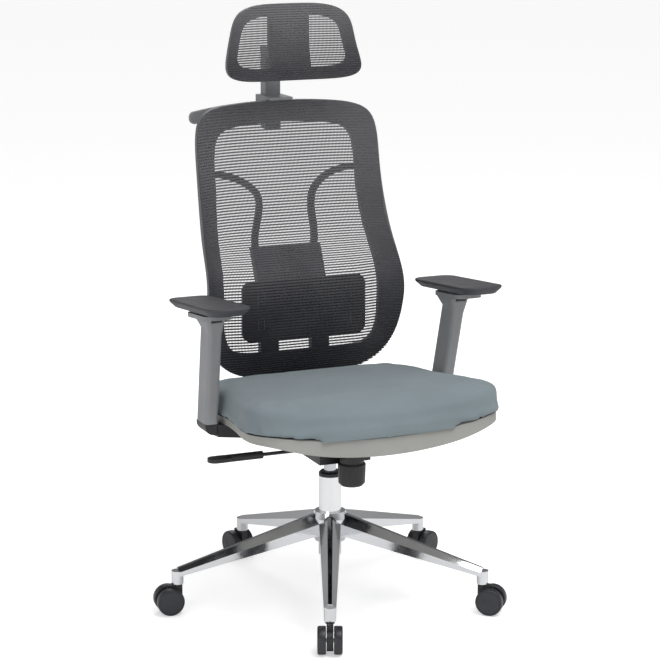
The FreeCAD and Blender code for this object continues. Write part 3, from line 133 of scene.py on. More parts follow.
# %% [markdown]
# ## Camera
#
# The chair stands turned a little, so one arm and the lever show on the left. The lens is long, as
# for a catalogue picture: verticals stay upright and the five legs keep their true spread.

# %% Camera
CAMERA_TURN = math.radians(-23.0)
CAMERA_DISTANCE = 4.922
CAMERA_HEIGHT = 1.699
CAMERA_PITCH = math.radians(12.5)
LENS_MM = 126.2

start()
bpy.ops.object.camera_add(
    location=(CAMERA_DISTANCE * math.sin(CAMERA_TURN), -CAMERA_DISTANCE * math.cos(CAMERA_TURN), CAMERA_HEIGHT),
    rotation=(math.pi / 2 - CAMERA_PITCH, 0, CAMERA_TURN),
)
camera = bpy.context.object
camera.data.lens = LENS_MM
camera.data.sensor_width = 36
camera.data.clip_end = 100
bpy.context.scene.camera = camera
print("camera at", [round(v, 3) for v in camera.location])

# %% [markdown]
# ## Studio
#
# A pale floor and a white surround, a large soft lamp overhead in front, a weaker one from the left
# and one from behind. The surround is white where the camera looks at it, and dimmer as a light
# source, so that pale pieces keep their colour. What a shiny surface mirrors is a room: pale panels,
# a darker far wall and a dark ceiling, because polished metal has no look of its own but what it
# mirrors, and in an all-white room a chromed tube would vanish.

# %% Surround
scene = bpy.context.scene
scene.view_settings.view_transform = "Standard"
world = bpy.data.worlds.new("studio_surround")
scene.world = world
world.use_nodes = True
tree = world.node_tree
tree.nodes.clear()
SURROUND_LIGHT = 0.62
SHINY_LEVEL = 0.9
TOWARDS_CAMERA = Vector((math.sin(CAMERA_TURN), -math.cos(CAMERA_TURN), 0))


def add(tree, kind, **settings):
    """Adds a node; settings name its properties, and numbered or named sockets go in a dict."""
    node = tree.nodes.new(kind)
    for name, setting in settings.items():
        if name == "inputs":
            for socket, number in setting.items():
                node.inputs[socket].default_value = number
        else:
            setattr(node, name, setting)
    return node


def join(tree, source, target):
    tree.links.new(source, target)


path = add(tree, "ShaderNodeLightPath")
direction = add(tree, "ShaderNodeTexCoord")
split = add(tree, "ShaderNodeSeparateXYZ")
ceiling = add(tree, "ShaderNodeMapRange",
              inputs={"From Min": 0.26, "From Max": 0.56, "To Min": SHINY_LEVEL, "To Max": 0.03})
facing = add(tree, "ShaderNodeVectorMath", operation="DOT_PRODUCT", inputs={1: TOWARDS_CAMERA})
far_wall = add(tree, "ShaderNodeMapRange",
               inputs={"From Min": -1.0, "From Max": -0.2, "To Min": 0.22, "To Max": 1.0})
turn = add(tree, "ShaderNodeMath", operation="ARCTAN2")
panels = add(tree, "ShaderNodeMath", operation="MULTIPLY", inputs={1: 7.0})
swing = add(tree, "ShaderNodeMath", operation="SINE")
strips = add(tree, "ShaderNodeMapRange", inputs={"From Min": -1.0, "From Max": 1.0, "To Min": 0.84, "To Max": 1.0})
walls = add(tree, "ShaderNodeMath", operation="MULTIPLY")
room = add(tree, "ShaderNodeMath", operation="MULTIPLY")
glossy_view = add(tree, "ShaderNodeMath", operation="MAXIMUM")
seen = add(tree, "ShaderNodeMix", data_type="FLOAT")
seen.inputs["A"].default_value = SURROUND_LIGHT
camera_or_not = add(tree, "ShaderNodeMix", data_type="FLOAT")
camera_or_not.inputs["B"].default_value = 1.0
surround = add(tree, "ShaderNodeBackground")
surround.inputs["Color"].default_value = (1, 1, 1, 1)
world_out = add(tree, "ShaderNodeOutputWorld")
join(tree, direction.outputs["Generated"], split.inputs[0])
join(tree, split.outputs["Z"], ceiling.inputs["Value"])
join(tree, direction.outputs["Generated"], facing.inputs[0])
join(tree, facing.outputs["Value"], far_wall.inputs["Value"])
join(tree, split.outputs["Y"], turn.inputs[0])
join(tree, split.outputs["X"], turn.inputs[1])
join(tree, turn.outputs[0], panels.inputs[0])
join(tree, panels.outputs[0], swing.inputs[0])
join(tree, swing.outputs[0], strips.inputs["Value"])
join(tree, far_wall.outputs["Result"], walls.inputs[0])
join(tree, strips.outputs["Result"], walls.inputs[1])
join(tree, ceiling.outputs["Result"], room.inputs[0])
join(tree, walls.outputs[0], room.inputs[1])
join(tree, path.outputs["Is Glossy Ray"], glossy_view.inputs[0])
join(tree, path.outputs["Is Transmission Ray"], glossy_view.inputs[1])
join(tree, glossy_view.outputs[0], seen.inputs["Factor"])
join(tree, room.outputs[0], seen.inputs["B"])
join(tree, path.outputs["Is Camera Ray"], camera_or_not.inputs["Factor"])
join(tree, seen.outputs["Result"], camera_or_not.inputs["A"])
join(tree, camera_or_not.outputs["Result"], surround.inputs["Strength"])
join(tree, surround.outputs[0], world_out.inputs["Surface"])
print("surround lights at", SURROUND_LIGHT)

# %% Floor
FLOOR_SIZE = 60
start()
bpy.ops.mesh.primitive_plane_add(size=FLOOR_SIZE, location=(0, 0, -0.0005))
floor = bpy.context.object
floor.name = "studio_floor"
paint = bpy.data.materials.new("floor_paint")
paint.use_nodes = True
tree = paint.node_tree
shader = tree.nodes["Principled BSDF"]
shader.inputs["Base Color"].default_value = (0.86, 0.86, 0.86, 1)
shader.inputs["Roughness"].default_value = 0.9
shader.inputs["Specular IOR Level"].default_value = 0.1
glow = add(tree, "ShaderNodeEmission")
path = add(tree, "ShaderNodeLightPath")
GLOW = 0.42
strength = add(tree, "ShaderNodeMath", operation="MULTIPLY", inputs={1: GLOW})
both = add(tree, "ShaderNodeAddShader")
join(tree, path.outputs["Is Camera Ray"], strength.inputs[0])
join(tree, strength.outputs[0], glow.inputs["Strength"])
join(tree, shader.outputs[0], both.inputs[0])
join(tree, glow.outputs[0], both.inputs[1])
join(tree, both.outputs[0], tree.nodes["Material Output"].inputs["Surface"])
floor.data.materials.append(paint)
print("floor", FLOOR_SIZE, "m across")

# %% Lamps
LAMPS = (
    ("key", (0.7, -2.0, 4.4), 3.0, 120),
    ("fill", (-3.2, -3.0, 2.0), 2.4, 26),
    ("rim", (0.8, 3.4, 3.2), 2.2, 36),
)
AIM = Vector((0, 0, 0.65))
for name, spot, width, watts in LAMPS:
    start()
    bpy.ops.object.light_add(type="AREA", location=spot)
    lamp = bpy.context.object
    lamp.name = f"lamp_{name}"
    lamp.data.shape = "DISK"
    lamp.data.size = width
    lamp.data.energy = watts
    lamp.rotation_euler = (AIM - Vector(spot)).to_track_quat("-Z", "Y").to_euler()
    print(name, "lamp", watts, "W")

# %% [markdown]
# ## Shared effects
#
# Three effects are used by many finishes, so each is a node group. **Grain** is the fine pebble of
# moulded plastic. **Cloud** slowly changes a colour or a gloss over a surface, as handling and
# moulding do. **Weave** crosses two sets of threads and gives their height and where they are.

# %% Group maker
def new_group(name, inputs, outputs):
    """A shader node group with named number or vector inputs and number outputs."""
    group = bpy.data.node_groups.new(name, "ShaderNodeTree")
    for label, kind, default in inputs:
        socket = group.interface.new_socket(label, in_out="INPUT", socket_type=f"NodeSocket{kind}")
        if default is not None:
            socket.default_value = default
    for label in outputs:
        group.interface.new_socket(label, in_out="OUTPUT", socket_type="NodeSocketFloat")
    return group, add(group, "NodeGroupInput"), add(group, "NodeGroupOutput")


# %% Grain group
GRAIN, source, result = new_group(
    "grain", [("Vector", "Vector", None), ("Size per Metre", "Float", 900.0)], ["Height", "Spread"])
pebble = add(GRAIN, "ShaderNodeTexVoronoi", feature="SMOOTH_F1")
broad = add(GRAIN, "ShaderNodeTexNoise", inputs={"Scale": 14.0, "Detail": 4.0})
join(GRAIN, source.outputs["Vector"], pebble.inputs["Vector"])
join(GRAIN, source.outputs["Size per Metre"], pebble.inputs["Scale"])
join(GRAIN, source.outputs["Vector"], broad.inputs["Vector"])
join(GRAIN, pebble.outputs["Distance"], result.inputs["Height"])
join(GRAIN, broad.outputs["Fac"], result.inputs["Spread"])
print("grain group made")

# %% Cloud group
CLOUD, source, result = new_group(
    "cloud", [("Vector", "Vector", None), ("Scale", "Float", 6.0), ("Low", "Float", 0.0), ("High", "Float", 1.0)],
    ["Value"])
noise = add(CLOUD, "ShaderNodeTexNoise", inputs={"Detail": 5.0, "Roughness": 0.55})
spread = add(CLOUD, "ShaderNodeMapRange", inputs={"From Min": 0.3, "From Max": 0.7})
join(CLOUD, source.outputs["Vector"], noise.inputs["Vector"])
join(CLOUD, source.outputs["Scale"], noise.inputs["Scale"])
join(CLOUD, noise.outputs["Fac"], spread.inputs["Value"])
join(CLOUD, source.outputs["Low"], spread.inputs["To Min"])
join(CLOUD, source.outputs["High"], spread.inputs["To Max"])
join(CLOUD, spread.outputs["Result"], result.inputs["Value"])
print("cloud group made")

# %% Weave group
WEAVE, source, result = new_group(
    "weave",
    [("Vector", "Vector", None), ("Rows per Metre", "Float", 154.0), ("Columns per Metre", "Float", 312.0),
     ("Row Cover", "Float", 0.55), ("Column Cover", "Float", 0.35)],
    ["Height", "Cover"])
place = add(WEAVE, "ShaderNodeSeparateXYZ")
join(WEAVE, source.outputs["Vector"], place.inputs[0])


def thread(axis, count, cover):
    """One set of parallel threads: 1 on a thread's middle, 0 between threads, and where they cover."""
    scaled = add(WEAVE, "ShaderNodeMath", operation="MULTIPLY")
    folded = add(WEAVE, "ShaderNodeMath", operation="PINGPONG", inputs={1: 0.5})
    tall = add(WEAVE, "ShaderNodeMath", operation="MULTIPLY", inputs={1: 2.0})
    edge = add(WEAVE, "ShaderNodeMath", operation="SUBTRACT", inputs={0: 1.0})
    away = add(WEAVE, "ShaderNodeMath", operation="SUBTRACT")
    there = add(WEAVE, "ShaderNodeMapRange", inputs={"From Min": -0.06, "From Max": 0.06})
    join(WEAVE, place.outputs[axis], scaled.inputs[0])
    join(WEAVE, source.outputs[count], scaled.inputs[1])
    join(WEAVE, scaled.outputs[0], folded.inputs[0])
    join(WEAVE, folded.outputs[0], tall.inputs[0])
    join(WEAVE, source.outputs[cover], edge.inputs[1])
    join(WEAVE, tall.outputs[0], away.inputs[0])
    join(WEAVE, edge.outputs[0], away.inputs[1])
    join(WEAVE, away.outputs[0], there.inputs["Value"])
    return tall.outputs[0], there.outputs["Result"]


row_height, row_there = thread("Y", "Rows per Metre", "Row Cover")
column_height, column_there = thread("X", "Columns per Metre", "Column Cover")
either = add(WEAVE, "ShaderNodeMath", operation="MAXIMUM")
taller = add(WEAVE, "ShaderNodeMath", operation="MAXIMUM")
join(WEAVE, row_there, either.inputs[0])
join(WEAVE, column_there, either.inputs[1])
join(WEAVE, row_height, taller.inputs[0])
join(WEAVE, column_height, taller.inputs[1])
join(WEAVE, either.outputs[0], result.inputs["Cover"])
join(WEAVE, taller.outputs[0], result.inputs["Height"])
print("weave group made")

# %% [markdown]
# ## Finishes
#
# Plastics share one recipe: a base colour that varies by a few percent, a grain that only the bump
# sees, and a gloss that wanders. Each finish then has its own colour, grain size and gloss.

# %% Finish helpers
def srgb(red, green, blue):
    """A colour read in 0-255 steps, turned into the linear numbers that shaders take."""
    def linear(step):
        share = step / 255
        return share / 12.92 if share <= 0.04045 else ((share + 0.055) / 1.055) ** 2.4
    return tuple(linear(step) for step in (red, green, blue)) + (1.0,)


def shade(colour, share):
    return tuple(min(part * share, 1.0) for part in colour[:3]) + (1.0,)


def new_finish(name, roughness, metallic=0.0):
    finish = bpy.data.materials.new(name)
    finish.use_nodes = True
    shader = finish.node_tree.nodes["Principled BSDF"]
    shader.inputs["Roughness"].default_value = roughness
    shader.inputs["Metallic"].default_value = metallic
    return finish, finish.node_tree, shader


def place_group(tree, group, vector, **numbers):
    node = add(tree, "ShaderNodeGroup", node_tree=group)
    join(tree, vector, node.inputs["Vector"])
    for label, number in numbers.items():
        node.inputs[label.replace("_", " ")].default_value = number
    return node


def varied_colour(tree, shader, factor, low, high):
    blend = add(tree, "ShaderNodeMix", data_type="RGBA")
    blend.inputs["A"].default_value = low
    blend.inputs["B"].default_value = high
    join(tree, factor, blend.inputs["Factor"])
    join(tree, blend.outputs["Result"], shader.inputs["Base Color"])
    return blend


def bump(tree, shader, height, strength, distance):
    relief = add(tree, "ShaderNodeBump", inputs={"Strength": strength, "Distance": distance})
    join(tree, height, relief.inputs["Height"])
    join(tree, relief.outputs["Normal"], shader.inputs["Normal"])


# %% Moulded plastics
def plastic(name, colour, gloss, grain=900.0, depth=0.25):
    finish, tree, shader = new_finish(name, gloss)
    vector = add(tree, "ShaderNodeTexCoord").outputs["Object"]
    pebble = place_group(tree, GRAIN, vector, Size_per_Metre=grain)
    tone = place_group(tree, CLOUD, vector, Scale=7.0)
    sheen = place_group(tree, CLOUD, vector, Scale=22.0, Low=gloss - 0.06, High=gloss + 0.06)
    varied_colour(tree, shader, tone.outputs["Value"], shade(colour, 0.93), shade(colour, 1.07))
    join(tree, sheen.outputs["Value"], shader.inputs["Roughness"])
    bump(tree, shader, pebble.outputs["Height"], depth, 0.0003)
    return finish


BLACK_PLASTIC = plastic("black_plastic", srgb(31, 31, 34), 0.44)
GREY_PLASTIC = plastic("grey_plastic", srgb(136, 137, 139), 0.5)
FRAME_PLASTIC = plastic("frame_plastic", srgb(100, 100, 103), 0.52)
SPINE_PLASTIC = plastic("spine_plastic", srgb(78, 78, 82), 0.52)
SHELL_PLASTIC = plastic("shell_plastic", srgb(150, 150, 146), 0.5)
WHEEL_PLASTIC = plastic("wheel_plastic", srgb(43, 44, 49), 0.36, 1300.0, 0.15)
PAD_SKIN = plastic("pad_skin", srgb(62, 62, 66), 0.58, 1500.0, 0.35)
BLACK_STEEL = plastic("black_steel", srgb(30, 30, 32), 0.4, 1600.0, 0.15)
print("plastics made")

# %% [markdown]
# Metals have no base pattern to speak of; what the eye reads is their reflection. The cast star is
# polished but not flat, so a slow ripple bends what it mirrors. The drawn tube is smoother. Turned
# pins and the gas cylinder have a finer ripple.

# %% Metals
def metal(name, colour, gloss, ripple, ripple_scale=9.0):
    finish, tree, shader = new_finish(name, gloss, 1.0)
    vector = add(tree, "ShaderNodeTexCoord").outputs["Object"]
    tone = place_group(tree, CLOUD, vector, Scale=5.0)
    haze = place_group(tree, CLOUD, vector, Scale=30.0, Low=max(gloss - 0.03, 0.02), High=gloss + 0.04)
    wave = place_group(tree, CLOUD, vector, Scale=ripple_scale)
    varied_colour(tree, shader, tone.outputs["Value"], shade(colour, 0.97), shade(colour, 1.03))
    join(tree, haze.outputs["Value"], shader.inputs["Roughness"])
    bump(tree, shader, wave.outputs["Value"], ripple, 0.002)
    return finish


POLISHED_ALLOY = metal("polished_alloy", srgb(221, 222, 225), 0.09, 0.10)
CHROME = metal("chrome", srgb(232, 233, 235), 0.06, 0.02)
BRIGHT_STEEL = metal("bright_steel", srgb(196, 198, 202), 0.14, 0.03, 40.0)
print("metals made")

# %% [markdown]
# The seat's cloth is close woven: from a step away it is one soft colour with a faint sheen at
# grazing angles. Its weave is read from the place on the piece, fine enough to blur into a tooth.

# %% Seat cloth
SEAT_BLUE = srgb(119, 130, 135)
SEAT_FABRIC, tree, shader = new_finish("seat_fabric", 0.85)
vector = add(tree, "ShaderNodeTexCoord").outputs["Object"]
tone = place_group(tree, CLOUD, vector, Scale=9.0)
cloth = place_group(tree, WEAVE, vector, Rows_per_Metre=900.0, Columns_per_Metre=900.0)
fuzz = add(tree, "ShaderNodeTexNoise", inputs={"Scale": 1500.0, "Detail": 2.0})
join(tree, vector, fuzz.inputs["Vector"])
tooth = add(tree, "ShaderNodeMath", operation="ADD")
join(tree, cloth.outputs["Height"], tooth.inputs[0])
join(tree, fuzz.outputs["Fac"], tooth.inputs[1])
varied_colour(tree, shader, tone.outputs["Value"], shade(SEAT_BLUE, 0.95), shade(SEAT_BLUE, 1.05))
bump(tree, shader, tooth.outputs[0], 0.35, 0.0004)
shader.inputs["Sheen Weight"].default_value = 0.12
shader.inputs["Sheen Roughness"].default_value = 0.5
shader.inputs["Specular IOR Level"].default_value = 0.25
print("seat cloth made")

# %% [markdown]
# The back and headrest are an open knit: thick level threads with finer upright ones between. What
# lies between the threads is really open, so the cloth's alpha is the weave's cover, read from the
# piece's own UV map, which is laid out in metres along the cloth.

# %% Open mesh cloth
def open_mesh(name, foot, top, foot_height, top_height, rows, columns, row_cover, column_cover):
    """An open knit with painted shade: its colour darkens towards the foot of the piece."""
    finish, tree, shader = new_finish(name, 0.7)
    chart = add(tree, "ShaderNodeUVMap", uv_map="cloth")
    threads = place_group(tree, WEAVE, chart.outputs["UV"], Rows_per_Metre=rows, Columns_per_Metre=columns,
                          Row_Cover=row_cover, Column_Cover=column_cover)
    place = add(tree, "ShaderNodeTexCoord").outputs["Object"]
    tone = place_group(tree, CLOUD, place, Scale=12.0, Low=-0.12, High=0.12)
    # Painted shade: the yarn colour runs from the darker foot colour up to the lighter top colour with height.
    split = add(tree, "ShaderNodeSeparateXYZ")
    painted_shade_by_height = add(tree, "ShaderNodeMapRange", inputs={"From Min": foot_height, "From Max": top_height})
    both = add(tree, "ShaderNodeMath", operation="ADD", use_clamp=True)
    join(tree, place, split.inputs[0])
    join(tree, split.outputs["Z"], painted_shade_by_height.inputs["Value"])
    join(tree, painted_shade_by_height.outputs["Result"], both.inputs[0])
    join(tree, tone.outputs["Value"], both.inputs[1])
    varied_colour(tree, shader, both.outputs[0], foot, top)
    join(tree, threads.outputs["Cover"], shader.inputs["Alpha"])
    bump(tree, shader, threads.outputs["Height"], 0.6, 0.0008)
    shader.inputs["Specular IOR Level"].default_value = 0.3
    return finish


# Painted shade: each cloth goes from a dark foot colour at the bottom to a lighter top colour by height.
BACK_CLOTH = open_mesh("back_cloth", srgb(38, 38, 43), srgb(92, 92, 95), 0.52, 0.95, 154.0, 312.0, 0.56, 0.34)
HEAD_CLOTH = open_mesh("head_cloth", srgb(46, 46, 50), srgb(104, 104, 106), 1.15, 1.28, 190.0, 330.0, 0.58, 0.36)
print("mesh cloths made")

# %% [markdown]
# ## Finishes on the CAD pieces
#
# Most hard pieces keep their CAD shape and only take a finish. Each is listed once, by name.

# %% Give the CAD pieces their finishes
def finish_node(name, finish):
    data = NODES[name].data
    data.materials.clear()
    data.materials.append(finish)


FINISHES = {
    "star_base": POLISHED_ALLOY, "column_tube": CHROME, "column_bush": BLACK_PLASTIC,
    "thrust_bearing": BRIGHT_STEEL, "piston_rod": BRIGHT_STEEL, "gas_cylinder": BRIGHT_STEEL,
    "gas_button": BRIGHT_STEEL, "tilt_chassis": BLACK_STEEL, "tilt_pivot_pin": BRIGHT_STEEL,
    "tension_spring": BRIGHT_STEEL, "tension_knob": BLACK_PLASTIC, "lever_cam": BLACK_PLASTIC,
    "lever_rod": BLACK_STEEL, "lever_grip": BLACK_PLASTIC, "tilt_plate": BLACK_STEEL,
    "seat_shell": SHELL_PLASTIC, "seat_board": FRAME_PLASTIC, "seat_bolts": BRIGHT_STEEL,
    "back_spine": SPINE_PLASTIC, "back_frame": FRAME_PLASTIC, "lumbar_pad": BLACK_PLASTIC,
    "head_bracket": GREY_PLASTIC, "head_stem": GREY_PLASTIC, "head_frame": FRAME_PLASTIC,
    "coat_hanger": GREY_PLASTIC, "seat_cushion": SEAT_FABRIC, "back_mesh": BACK_CLOTH,
    "head_mesh": HEAD_CLOTH,
}
for side in "lr":
    FINISHES |= {
        f"arm_{side}_bracket": BLACK_PLASTIC, f"arm_{side}_post": BRIGHT_STEEL,
        f"arm_{side}_sleeve": GREY_PLASTIC, f"arm_{side}_trigger": BLACK_PLASTIC,
        f"arm_{side}_pad_base": BLACK_PLASTIC, f"arm_{side}_pad": PAD_SKIN,
    }
for number in range(1, 6):
    FINISHES |= {
        f"caster_{number}_housing": BLACK_PLASTIC, f"caster_{number}_pins": BRIGHT_STEEL,
        f"caster_{number}_wheel_a": WHEEL_PLASTIC, f"caster_{number}_wheel_b": WHEEL_PLASTIC,
    }
for name, finish in FINISHES.items():
    finish_node(name, finish)
print(len(FINISHES), "finishes given;", "left:", sorted(set(NODES) - set(FINISHES)))

# %% [markdown]
# ## The seat cushion
#
# A block of moulded foam under one skin of cloth: crowned on top, with a firm fold where the top
# turns down into the front, and swollen sides. It could be a subdivided cube, but a real pad's skin is
# pulled tight over foam, so the CAD block is copied, remeshed evenly, blown up a little as cloth under
# pressure, and never allowed further than a few millimetres from where it started.

# %% Copy of a CAD piece as one closed mesh
def merged_copy(node, shrink=0.0):
    source = NODES[node]
    copy = source.copy()
    copy.data = source.data.copy()
    bpy.context.collection.objects.link(copy)
    only(copy)
    copy.parent = None
    copy.matrix_world = Matrix.Identity(4)
    copy.hide_set(False)
    bpy.ops.object.mode_set(mode="EDIT")
    bpy.ops.mesh.select_all(action="SELECT")
    bpy.ops.mesh.remove_doubles(threshold=0.00002)
    if shrink:
        bpy.ops.transform.shrink_fatten(value=-shrink)
    bpy.ops.object.mode_set(mode="OBJECT")
    return copy


def inflate(piece, cap, pressure=4.0, frames=20, hold=None):
    """Blows a closed mesh up as cloth, keeps each point within a cap of its start, and applies it."""
    before = [v.co.copy() for v in piece.data.vertices]
    only(piece)
    cloth = piece.modifiers.new("Cloth", "CLOTH")
    cloth.settings.use_pressure = True
    cloth.settings.uniform_pressure_force = pressure
    cloth.settings.effector_weights.gravity = 0
    cloth.settings.quality = 5
    cloth.point_cache.frame_start = 1
    cloth.point_cache.frame_end = frames
    if hold is not None:
        group = piece.vertex_groups.new(name="held")
        group.add([v.index for v in piece.data.vertices if hold(v.co)], 1.0, "REPLACE")
        cloth.settings.vertex_group_mass = "held"
    for number in range(1, frames + 1):
        scene.frame_set(number)
    only(piece)
    bpy.ops.object.modifier_apply(modifier=cloth.name)
    scene.frame_set(1)
    furthest = 0.0
    for vertex, old in zip(piece.data.vertices, before):
        step = vertex.co - old
        furthest = max(furthest, step.length)
        if step.length > cap:
            vertex.co = old + step.normalized() * cap
    piece.vertex_groups.clear()
    return furthest


# %% Cushion
CUSHION_VOXEL = 0.0065
CUSHION_SHRINK = 0.003
CUSHION_CAP = 0.005
CROWN = 0.006
SEAT_SLOPE = math.radians(5.5)

cushion = merged_copy("seat_cushion", CUSHION_SHRINK)
modify(cushion, "REMESH", mode="VOXEL", voxel_size=CUSHION_VOXEL)
low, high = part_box("seat_cushion")
middle = (low + high) / 2
half_x, half_y = (high.x - low.x) / 2, (high.y - low.y) / 2


def seat_level(point):
    """How high a point is above the seat's sloping plane through the column's top."""
    return (point.z - 0.437) * math.cos(SEAT_SLOPE) + point.y * math.sin(SEAT_SLOPE)


for vertex in cushion.data.vertices:
    spot = vertex.co
    across, along = (spot.x - middle.x) / half_x, (spot.y - middle.y) / half_y
    share = min(max((seat_level(spot) - 0.035) / 0.02, 0), 1)
    vertex.co.z += CROWN * share * max(1 - across ** 4, 0) * max(1 - along ** 4, 0)
moved = inflate(cushion, CUSHION_CAP, hold=lambda spot: seat_level(spot) < 0.004)
print("cushion skin moved", round(moved * 1000, 1), "mm before the cap")
modify(cushion, "SMOOTH", factor=0.5, iterations=3)
smooth(cushion, 60)
attach(cushion, "cushion", "seat", ["seat_cushion"], SEAT_FABRIC)

# %% [markdown]
# ## Stretched mesh on the back and headrest
#
# The cloth is one thin sheet pulled over its frame. It could be a plane pushed onto the frame by
# hand; here a flat grid is cut to the outline, then each point is set to the depth of the CAD sheet
# at its place, so it lies exactly where the CAD says. The grid's UV map is in metres, which keeps
# every thread the same size.

# %% Sheet maker
def stretched_sheet(node, outline, columns, rows):
    """A grid cut to an outline and laid on a CAD sheet. outline gives x and z for a place in a square."""
    low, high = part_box(node)
    start()
    bpy.ops.mesh.primitive_grid_add(x_subdivisions=columns, y_subdivisions=rows, size=2, rotation=(math.pi / 2, 0, 0))
    sheet = bpy.context.object
    settle(sheet)
    source = merged_copy(node)
    tree = BVHTree.FromObject(source, bpy.context.evaluated_depsgraph_get())
    middle = (low.y + high.y) / 2
    for vertex in sheet.data.vertices:
        x, z = outline(vertex.co.x, vertex.co.z)
        front = tree.ray_cast(Vector((x, low.y - 0.1, z)), Vector((0, 1, 0)))[0]
        if front is None:
            front = tree.find_nearest(Vector((x, middle, z)))[0]
        vertex.co = Vector((x, front.y + 0.0006, z))
    only(source)
    bpy.ops.object.delete()
    mesh = sheet.data
    lengths = cloth_lengths(mesh, columns, rows)
    for layer in list(mesh.uv_layers):
        mesh.uv_layers.remove(layer)
    chart = mesh.uv_layers.new(name="cloth")
    for loop in mesh.loops:
        spot = mesh.vertices[loop.vertex_index].co
        chart.data[loop.index].uv = (spot.x, lengths(spot.z))
    smooth(sheet, 60)
    return sheet


def cloth_lengths(mesh, columns, rows):
    """Length along the cloth's middle line as a function of height."""
    line = sorted((v.co.z, v.co.y) for v in mesh.vertices if abs(v.co.x) < 0.004)
    marks, total = [(line[0][0], 0.0)], 0.0
    for (z0, y0), (z1, y1) in zip(line, line[1:]):
        if z1 - z0 < 0.001:
            continue
        total += math.hypot(z1 - z0, y1 - y0)
        marks.append((z1, total))

    def length(height):
        if height <= marks[0][0]:
            return height - marks[0][0]
        for (z0, d0), (z1, d1) in zip(marks, marks[1:]):
            if height <= z1:
                return d0 + (d1 - d0) * (height - z0) / (z1 - z0)
        return marks[-1][1] + height - marks[-1][0]
    return length


def area_of(piece):
    return sum(face.area for face in piece.data.polygons)


def rounded_square(a, b, power):
    """Draws a square's points in to a squared oval, most at its edge."""
    edge = max(abs(a), abs(b))
    if edge == 0:
        return 0.0, 0.0
    scale = edge / (abs(a) ** power + abs(b) ** power) ** (1 / power)
    scale = 1 + (scale - 1) * edge ** 3
    return a * scale, b * scale


# %% Back sheet
BACK_LOW, BACK_HIGH = 0.468, 1.078
BACK_ARCH = 0.014
EDGE_INSET = 0.0006


def ease(value, low, high):
    share = min(max((value - low) / (high - low), 0), 1)
    return share * share * (3 - 2 * share)


def back_outline(a, b):
    power = 4 if b < 0 else 10
    across, up = rounded_square(a, b, power)
    height = (BACK_LOW + BACK_HIGH) / 2 + (BACK_HIGH - BACK_LOW - 2 * EDGE_INSET) / 2 * up
    half = 0.236 - 0.0175 * ease(height, 0.640, 0.860) - EDGE_INSET
    if up > 0:
        height -= BACK_ARCH * up * across ** 2
    return half * across, height


back_sheet = stretched_sheet("back_mesh", back_outline, 72, 96)
attach(back_sheet, "back_sheet", "seat", ["back_mesh"], BACK_CLOTH)
print("back cloth", round(area_of(back_sheet), 4), "m2")

# %% Headrest sheet
HEAD_LOW, HEAD_HIGH = 1.131, 1.298


def head_outline(a, b):
    across, up = rounded_square(a, b, 4 if b > 0 else 5)
    height = (HEAD_LOW + HEAD_HIGH) / 2 + (HEAD_HIGH - HEAD_LOW - 2 * EDGE_INSET) / 2 * up
    share = (height - HEAD_LOW) / (HEAD_HIGH - HEAD_LOW)
    half = 0.137 + 0.0355 * max(1 - share, 0) ** 1.5 - EDGE_INSET
    return half * across, height


head_sheet = stretched_sheet("head_mesh", head_outline, 60, 36)
attach(head_sheet, "head_sheet", "head", ["head_mesh"], HEAD_CLOTH)
print("head cloth", round(area_of(head_sheet), 4), "m2")

# %% [markdown]
# ## Armrest pads
#
# Each pad is moulded foam with its own skin: a long lozenge with a soft top, a rounded rim and an
# underside that slopes in to the plate below. It could be cloth-simulated like the seat, but this foam
# is firm and keeps its mould's shape, so a block is shaped by hand: its lower half is drawn in, its
# corners are rounded in plan, the top is crowned in two steps, and every edge is softened.

# %% Armrest pads
PAD_HALF_WIDTH, PAD_HALF_LENGTH, PAD_HALF_HEIGHT = 0.049, 0.141, 0.010
PAD_SIDE = 0.007
PAD_UNDERCUT = 0.012
PAD_CORNER = 0.030
PAD_CROWN = 0.0022


def armrest_pad():
    start()
    bpy.ops.mesh.primitive_cube_add(size=2)
    pad = bpy.context.object
    settle(pad, Matrix.Translation((0, 0, PAD_HALF_HEIGHT - PAD_SIDE / 2 - PAD_CROWN / 2))
           @ Matrix.Diagonal((PAD_HALF_WIDTH, PAD_HALF_LENGTH, (PAD_SIDE - PAD_CROWN) / 2, 1)))
    pick(pad, "EDGE", lambda edge: abs(pad.data.vertices[edge.vertices[0]].co.z
                                       - pad.data.vertices[edge.vertices[1]].co.z) > 0.001)
    bpy.ops.mesh.bevel(offset=PAD_CORNER, segments=7, affect="EDGES")
    done()
    pick(pad, "FACE", lambda face: face.normal.z < -0.9)
    bpy.ops.mesh.extrude_region_move(
        TRANSFORM_OT_translate={"value": (0, 0, -(2 * PAD_HALF_HEIGHT - PAD_SIDE))})
    bpy.ops.transform.resize(value=(1 - PAD_UNDERCUT / PAD_HALF_WIDTH, 1 - PAD_UNDERCUT / PAD_HALF_LENGTH, 1))
    done()
    for inset, rise in ((0.006, 0.0008), (0.012, 0.0014)):
        top = max(face.center.z for face in pad.data.polygons)
        pick(pad, "FACE", lambda face: face.normal.z > 0.9 and face.center.z > top - 0.0001)
        bpy.ops.mesh.inset(thickness=inset)
        bpy.ops.transform.translate(value=(0, 0, rise))
        done()
    modify(pad, "BEVEL", width=0.0028, segments=3, limit_method="ANGLE", angle_limit=math.radians(22))
    smooth(pad, 50)
    return pad


PAD_TILT = Matrix.Rotation(math.radians(-5.5), 4, "X")
for side in "lr":
    low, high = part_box(f"arm_{side}_pad")
    pad = armrest_pad()
    settle(pad, Matrix.Translation((low + high) / 2) @ PAD_TILT)
    attach(pad, f"armrest_pad_{side}", f"pad_{side}", [f"arm_{side}_pad"], PAD_SKIN)

# %% [markdown]
# ## Caster wheels
#
# A caster wheel is a moulded disc: a tread with rounded shoulders and an outer face with a raised rim,
# a shallow ring groove inside it and a gently domed cap. It could be spun from a profile; here a
# cylinder's outer face is inset and pushed in steps, which makes each ring a band of its own. One
# wheel is modelled, lying flat, and ten copies are turned onto their axles.

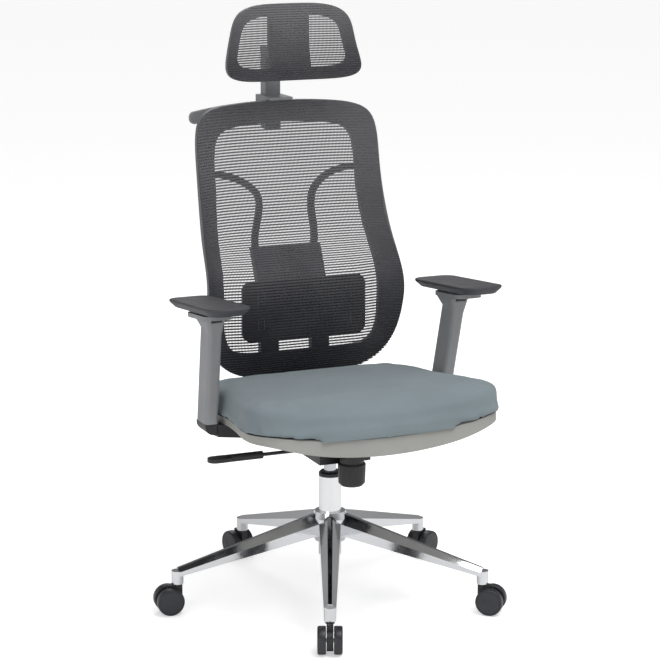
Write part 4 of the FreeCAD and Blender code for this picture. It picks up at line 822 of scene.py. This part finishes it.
# %% Caster wheels
WHEEL_RADIUS, WHEEL_WIDTH = 0.030, 0.019
WHEEL_STEPS = ((0.0032, 0.0), (0.0003, -0.0016), (0.0008, 0.0), (0.0003, 0.0010), (0.0060, 0.0004), (0.0070, 0.0002),
               (0.0040, 0.0), (0.0004, -0.0005), (0.0030, 0.0))


def wheel_disc():
    start()
    bpy.ops.mesh.primitive_cylinder_add(vertices=56, radius=WHEEL_RADIUS, depth=WHEEL_WIDTH)
    wheel = bpy.context.object
    settle(wheel)
    for thickness, rise in WHEEL_STEPS:
        cap = max((face for face in wheel.data.polygons if face.normal.z > 0.9), key=lambda face: len(face.vertices))
        number = cap.index
        pick(wheel, "FACE", lambda face: face.index == number)
        bpy.ops.mesh.inset(thickness=thickness)
        bpy.ops.transform.translate(value=(0, 0, rise))
        done()
    pick(wheel, "FACE", lambda face: face.normal.z < -0.9)
    bpy.ops.mesh.inset(thickness=0.006)
    bpy.ops.transform.translate(value=(0, 0, 0.0012))
    done()
    pick(wheel, "EDGE", lambda edge: all(
        abs(math.hypot(*wheel.data.vertices[v].co.xy) - WHEEL_RADIUS) < 0.0001 for v in edge.vertices)
        and abs(wheel.data.vertices[edge.vertices[0]].co.z - wheel.data.vertices[edge.vertices[1]].co.z) < 0.0001)
    bpy.ops.mesh.bevel(offset=0.0038, segments=4, affect="EDGES")
    done()
    smooth(wheel, 32)
    return wheel


master = wheel_disc()
BASE_TURN = 247
for number in range(1, 6):
    turn = math.radians(BASE_TURN + 72 * (number - 1))
    for letter, side in (("a", 1), ("b", -1)):
        node = f"caster_{number}_wheel_{letter}"
        low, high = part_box(node)
        outward = Vector((-math.sin(turn) * side, math.cos(turn) * side, 0))
        wheel = master.copy()
        wheel.data = master.data.copy()
        bpy.context.collection.objects.link(wheel)
        settle(wheel, Matrix.Translation((low + high) / 2) @ outward.to_track_quat("Z", "Y").to_matrix().to_4x4())
        attach(wheel, f"wheel_disc_{number}_{letter}", f"wheel_{number}_{letter}", [node], WHEEL_PLASTIC)
only(master)
bpy.ops.object.delete()
